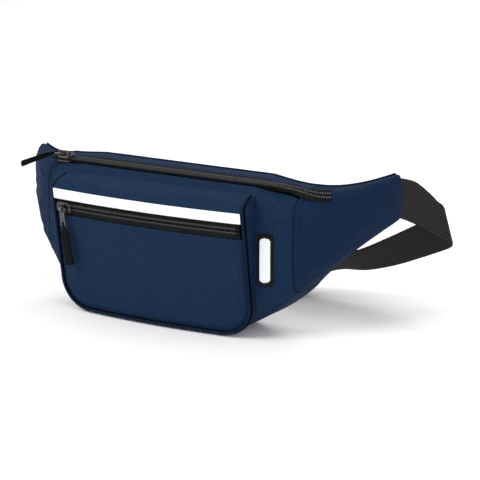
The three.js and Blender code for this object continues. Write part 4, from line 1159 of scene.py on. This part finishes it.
def webbing_strap(name, side, route, node):
    points = [np.array(p, float) if p is not None else tip_point(side, w)
              for (p, _), w in zip(route, (0.94, 1.0) + (None,) * len(route))]
    per_span = 14
    centres = centripetal(points, per_span)
    leans = np.array([unit(np.array(w, float)) for _, w in route])
    order = np.linspace(0, len(route) - 1, len(centres))
    lean = points_at(order, range(len(route)), leans)
    along = unit(np.gradient(centres, axis=0))
    up = unit(lean)
    outward = np.cross(along, up)
    # where the crosswise lines lean along the path they are let out, but only by so much: in the
    # tightest bend the strap is therefore narrower than its nominal width
    stretch = np.minimum(MOST_STRETCH, 1 / np.linalg.norm(outward, axis=1))
    outward = unit(outward)
    half, thick = WEBBING_WIDE / 2, WEBBING_THICK / 2
    # section: flat faces and rounded woven edges
    across = np.concatenate([np.linspace(-1, 1, 19), [1.0], np.linspace(1, -1, 19), [-1.0]])
    face = np.concatenate([np.ones(19), [0.0], -np.ones(19), [0.0]])
    edge = np.clip((1 - np.abs(across)) / 0.06, 0, 1)
    rounding = np.where(face == 0, 0, 0.45 + 0.55 * np.sqrt(edge))
    reach = across * (half - 0.15) + np.where(face == 0, 0.15 * np.sign(across), 0)
    ring = (centres[:, None] + (up * stretch[:, None])[:, None] * reach[None, :, None]
            + outward[:, None] * (face * rounding * thick)[None, :, None])
    count, sides = ring.shape[0], ring.shape[1]
    travel = travelled(centres)
    uv = np.stack([np.repeat(travel, sides), np.tile(reach, count)], -1) * MM
    faces = side_faces(count, sides)[:, ::-1].tolist()
    faces += [list(range(sides)), [(count - 1) * sides + m for m in range(sides)][::-1]]
    obj = link(name, ring.reshape(-1, 3), faces, uv)
    finish_piece(obj, WEBBING, nodes=(node,))
    return centres, up, outward


def belt():
    webbing_strap("belt_right", 1, RIGHT_ROUTE, "belt_webbing_right")
    left = webbing_strap("belt_left", -1, LEFT_ROUTE, "belt_webbing_left")
    batch = Batch()
    # bar tacks where the left strap's loop is sewn down beside the buckle
    centres, up, outward = left
    near = [k for k in range(len(centres)) if -56 < centres[k][0] < -45 and centres[k][2] > 6.5]
    for k in near[::5]:
        line = [centres[k] + up[k] * s + outward[k] * 0.95 for s in np.linspace(-12, 12, 30)]
        line2 = [centres[k] + up[k] * s - outward[k] * 0.95 for s in np.linspace(-12, 12, 30)]
        add_stitches(batch, line, pitch=2.2, radius=0.25)
        add_stitches(batch, line2, pitch=2.2, radius=0.25)
    finish_piece(batch.build("belt_tacks"), BLACK_THREAD)


# ---- pull ribbons --------
def ribbon(name, eye, way, width_way, bar, length, width, shoulder, body, node):
    """A folded tape with a loop round the pull's end bar and two plies."""
    eye, bar = np.asarray(eye, float), unit(np.asarray(bar, float))
    way, width_way = unit(np.asarray(way, float)), np.asarray(width_way, float)
    width_way = unit(width_way - way * (width_way @ way))
    face = np.cross(way, width_way)
    columns, rows = 60, 10
    x = lerp(1.1, length, np.linspace(0, 1, columns + 1))
    half = np.interp(x, [1.1, 2.4, shoulder, length], [0.55, 0.65, width / 2, width / 2])
    across = np.linspace(-1, 1, rows + 1)
    batch = Batch()
    for ply in (1, -1):
        swell = 0.28 + 0.5 * smoothstep(x, length * 0.55, length)
        bow = 0.35 * np.sin(x / length * math.pi) - 0.1
        height = (ply * swell * 0.8 + bow)[:, None] + 0.12 * np.cos(across * 3)[None] * ply
        grid = (eye + x[:, None, None] * way + (half[:, None] * across[None])[..., None] * width_way
                + height[..., None] * face)
        ripple = 0.1 * perlin(grid, 5, 91.0)
        grid = grid + face * ripple[..., None]
        if ply < 0:
            grid = grid[:, ::-1]
        batch.add(sheet(grid, TAPE_THICK))
    # the loop round the bar
    first = unit(way - bar * (way @ bar))
    second = np.cross(bar, first)
    turn = np.linspace(0, 2 * math.pi, 25)
    circle = eye + 1.08 * (np.outer(np.cos(turn), first) + np.outer(np.sin(turn), second))
    batch.add(tube(circle, 0.24, sides=8, squash=3.4, twist_up=first * 0.01 + bar))
    finish_piece(batch.build(name), RIBBON, body=body, nodes=(node,))


def joint_point(name):
    joint = next(j for j in frame["joints"] if j["name"] == name)
    return np.array(joint["pos_m"]) / MM, np.array(joint["axis"], float)


def pull_ribbons():
    eye, bar = joint_point("main_ribbon_swing")
    ribbon("main_ribbon_tape", eye, (-0.55, -0.8, -0.22), (0.62, -0.4, 0.68), bar, 29.5, 7.2, 9,
           "main_ribbon", "main_pull_ribbon")
    eye, bar = joint_point("front_ribbon_swing")
    ribbon("front_ribbon_tape", eye, (0.12, 0.07, -1), (1, 0, 0), bar, 31.5, 6.6, 5,
           "front_ribbon", "front_pull_ribbon")


# ---- stitching and seams --------
def stitching():
    navy = Batch()

    def sew(surface, where, radius=THREAD):
        add_stitches(navy, surface[where] + normals_of(surface)[where] * THREAD_LIFT, radius=radius)

    inside = slice(3, -3)
    down = slice(4, -4)
    sew(front_surface, (inside, 2))
    for column in (3, -4):
        sew(front_surface, (column, down))
    sew(top_surface, (inside, -3))
    sew(right_surface, (3, down))
    sew(left_surface, (-4, down))
    # wing tips, where the belt is sewn in
    for surface, column, step in ((right_surface, -4, -3), (left_surface, 3, 3)):
        sew(surface, (column, slice(6, -6)), 0.24)
        sew(surface, (column + step, slice(6, -6)), 0.24)
    for name in ("under_zip", "above_zip"):
        line = pocket_rows[name][3:-3] + np.array([0, -0.15, 0])
        add_stitches(navy, line, radius=THREAD)
    finish_piece(navy.build("navy_stitches"), NAVY_THREAD)

    white = Batch()
    for name in ("strip_low", "strip_high"):
        add_stitches(white, pocket_rows[name][2:-2] + np.array([0, -0.12, 0]), pitch=2.6, radius=0.16)
    finish_piece(white.build("strip_stitches"), WHITE)

    # bound edges: the seam allowance that stands along the wings' and back panel's meeting line
    binding = Batch()
    upper = back_surface[:, 0] + np.array([0, -0.4, 0.1])
    lower = back_surface[:, -1] + np.array([0, -0.4, -0.1])
    lower[:, 2] = np.maximum(lower[:, 2], 1.1)
    for line in (upper, lower):
        line = resample(line, 2.0)
        wave = 0.1 * perlin(line[None], 6, 95.0)[0]
        binding.add(tube(line + np.array([0, 0, 1]) * wave[:, None], 0.85, sides=9, twist_up=(0, 1, 0)))
    finish_piece(binding.build("edge_binding"), NAVY_TRIM)


# ---- carried-over CAD nodes --------
def dress_hard_parts():
    for node, material in (("main_slider", GUNMETAL), ("main_pull_tab", GUNMETAL), ("front_slider", GUNMETAL),
                           ("front_pull_tab", GUNMETAL), ("buckle_female", PLASTIC), ("buckle_male", PLASTIC),
                           ("buckle_prong_back", PLASTIC), ("buckle_prong_front", PLASTIC)):
        obj = frame["nodes"][node]
        obj.data.materials.clear()
        obj.data.materials.append(material)
        bevel = obj.modifiers.new("edge", "BEVEL")
        bevel.width = (0.13 if material is GUNMETAL else 0.6) * MM
        bevel.segments = 3
        bevel.limit_method = "ANGLE"
        bevel.angle_limit = math.radians(32)
        bevel.use_clamp_overlap = True
        bevel.harden_normals = False
        for polygon in obj.data.polygons:
            polygon.use_smooth = False


# ---- studio --------
def area_light(name, location, aim, size, power):
    data = bpy.data.lights.new(name, "AREA")
    data.shape = "RECTANGLE"
    data.size, data.size_y = size
    data.energy = power
    light = bpy.data.objects.new(name, data)
    light.location = location
    light.rotation_euler = (Vector(aim) - Vector(location)).to_track_quat("-Z", "Y").to_euler()
    scene.collection.objects.link(light)


def studio():
    floor = bpy.data.meshes.new("floor")
    corners = [(-6, -6, 0), (6, -6, 0), (6, 6, 0), (-6, 6, 0)]
    floor.from_pydata(corners, [], [(0, 1, 2, 3)])
    ground = bpy.data.objects.new("floor", floor)
    scene.collection.objects.link(ground)
    ground.location.z = -0.0004
    n = Nodes("floor_paper")
    where = n.add("ShaderNodeTexCoord").outputs["Object"]
    grain = n.add("ShaderNodeTexNoise", {"Vector": where, "Scale": 3.0, "Detail": 2.0})
    n.wire("Base Color", mix_colours(n, grain.outputs["Fac"], (0.93, 0.93, 0.93, 1), (0.96, 0.96, 0.96, 1)))
    n.set(Roughness=0.9, Specular_IOR_Level=0.1)
    floor.materials.append(n.material)
    world = bpy.data.worlds.new("studio")
    world.use_nodes = True
    background = world.node_tree.nodes["Background"]
    background.inputs["Color"].default_value = (1, 1, 1, 1)
    background.inputs["Strength"].default_value = 0.8
    scene.world = world
    area_light("key", (-0.9, -1.3, 1.5), (0, 0, 0.05), (1.2, 0.9), 26)
    area_light("fill", (1.7, -1.0, 0.9), (0.05, 0, 0.05), (1.0, 1.0), 9)
    area_light("rim", (0.3, 1.5, 1.4), (0, 0, 0.08), (1.2, 0.6), 10)
    scene.view_settings.view_transform = "Standard"
    scene.view_settings.look = "None"


side_label()
belt()
pull_ribbons()
stitching()
dress_hard_parts()
studio()

bpy.context.view_layer.update()
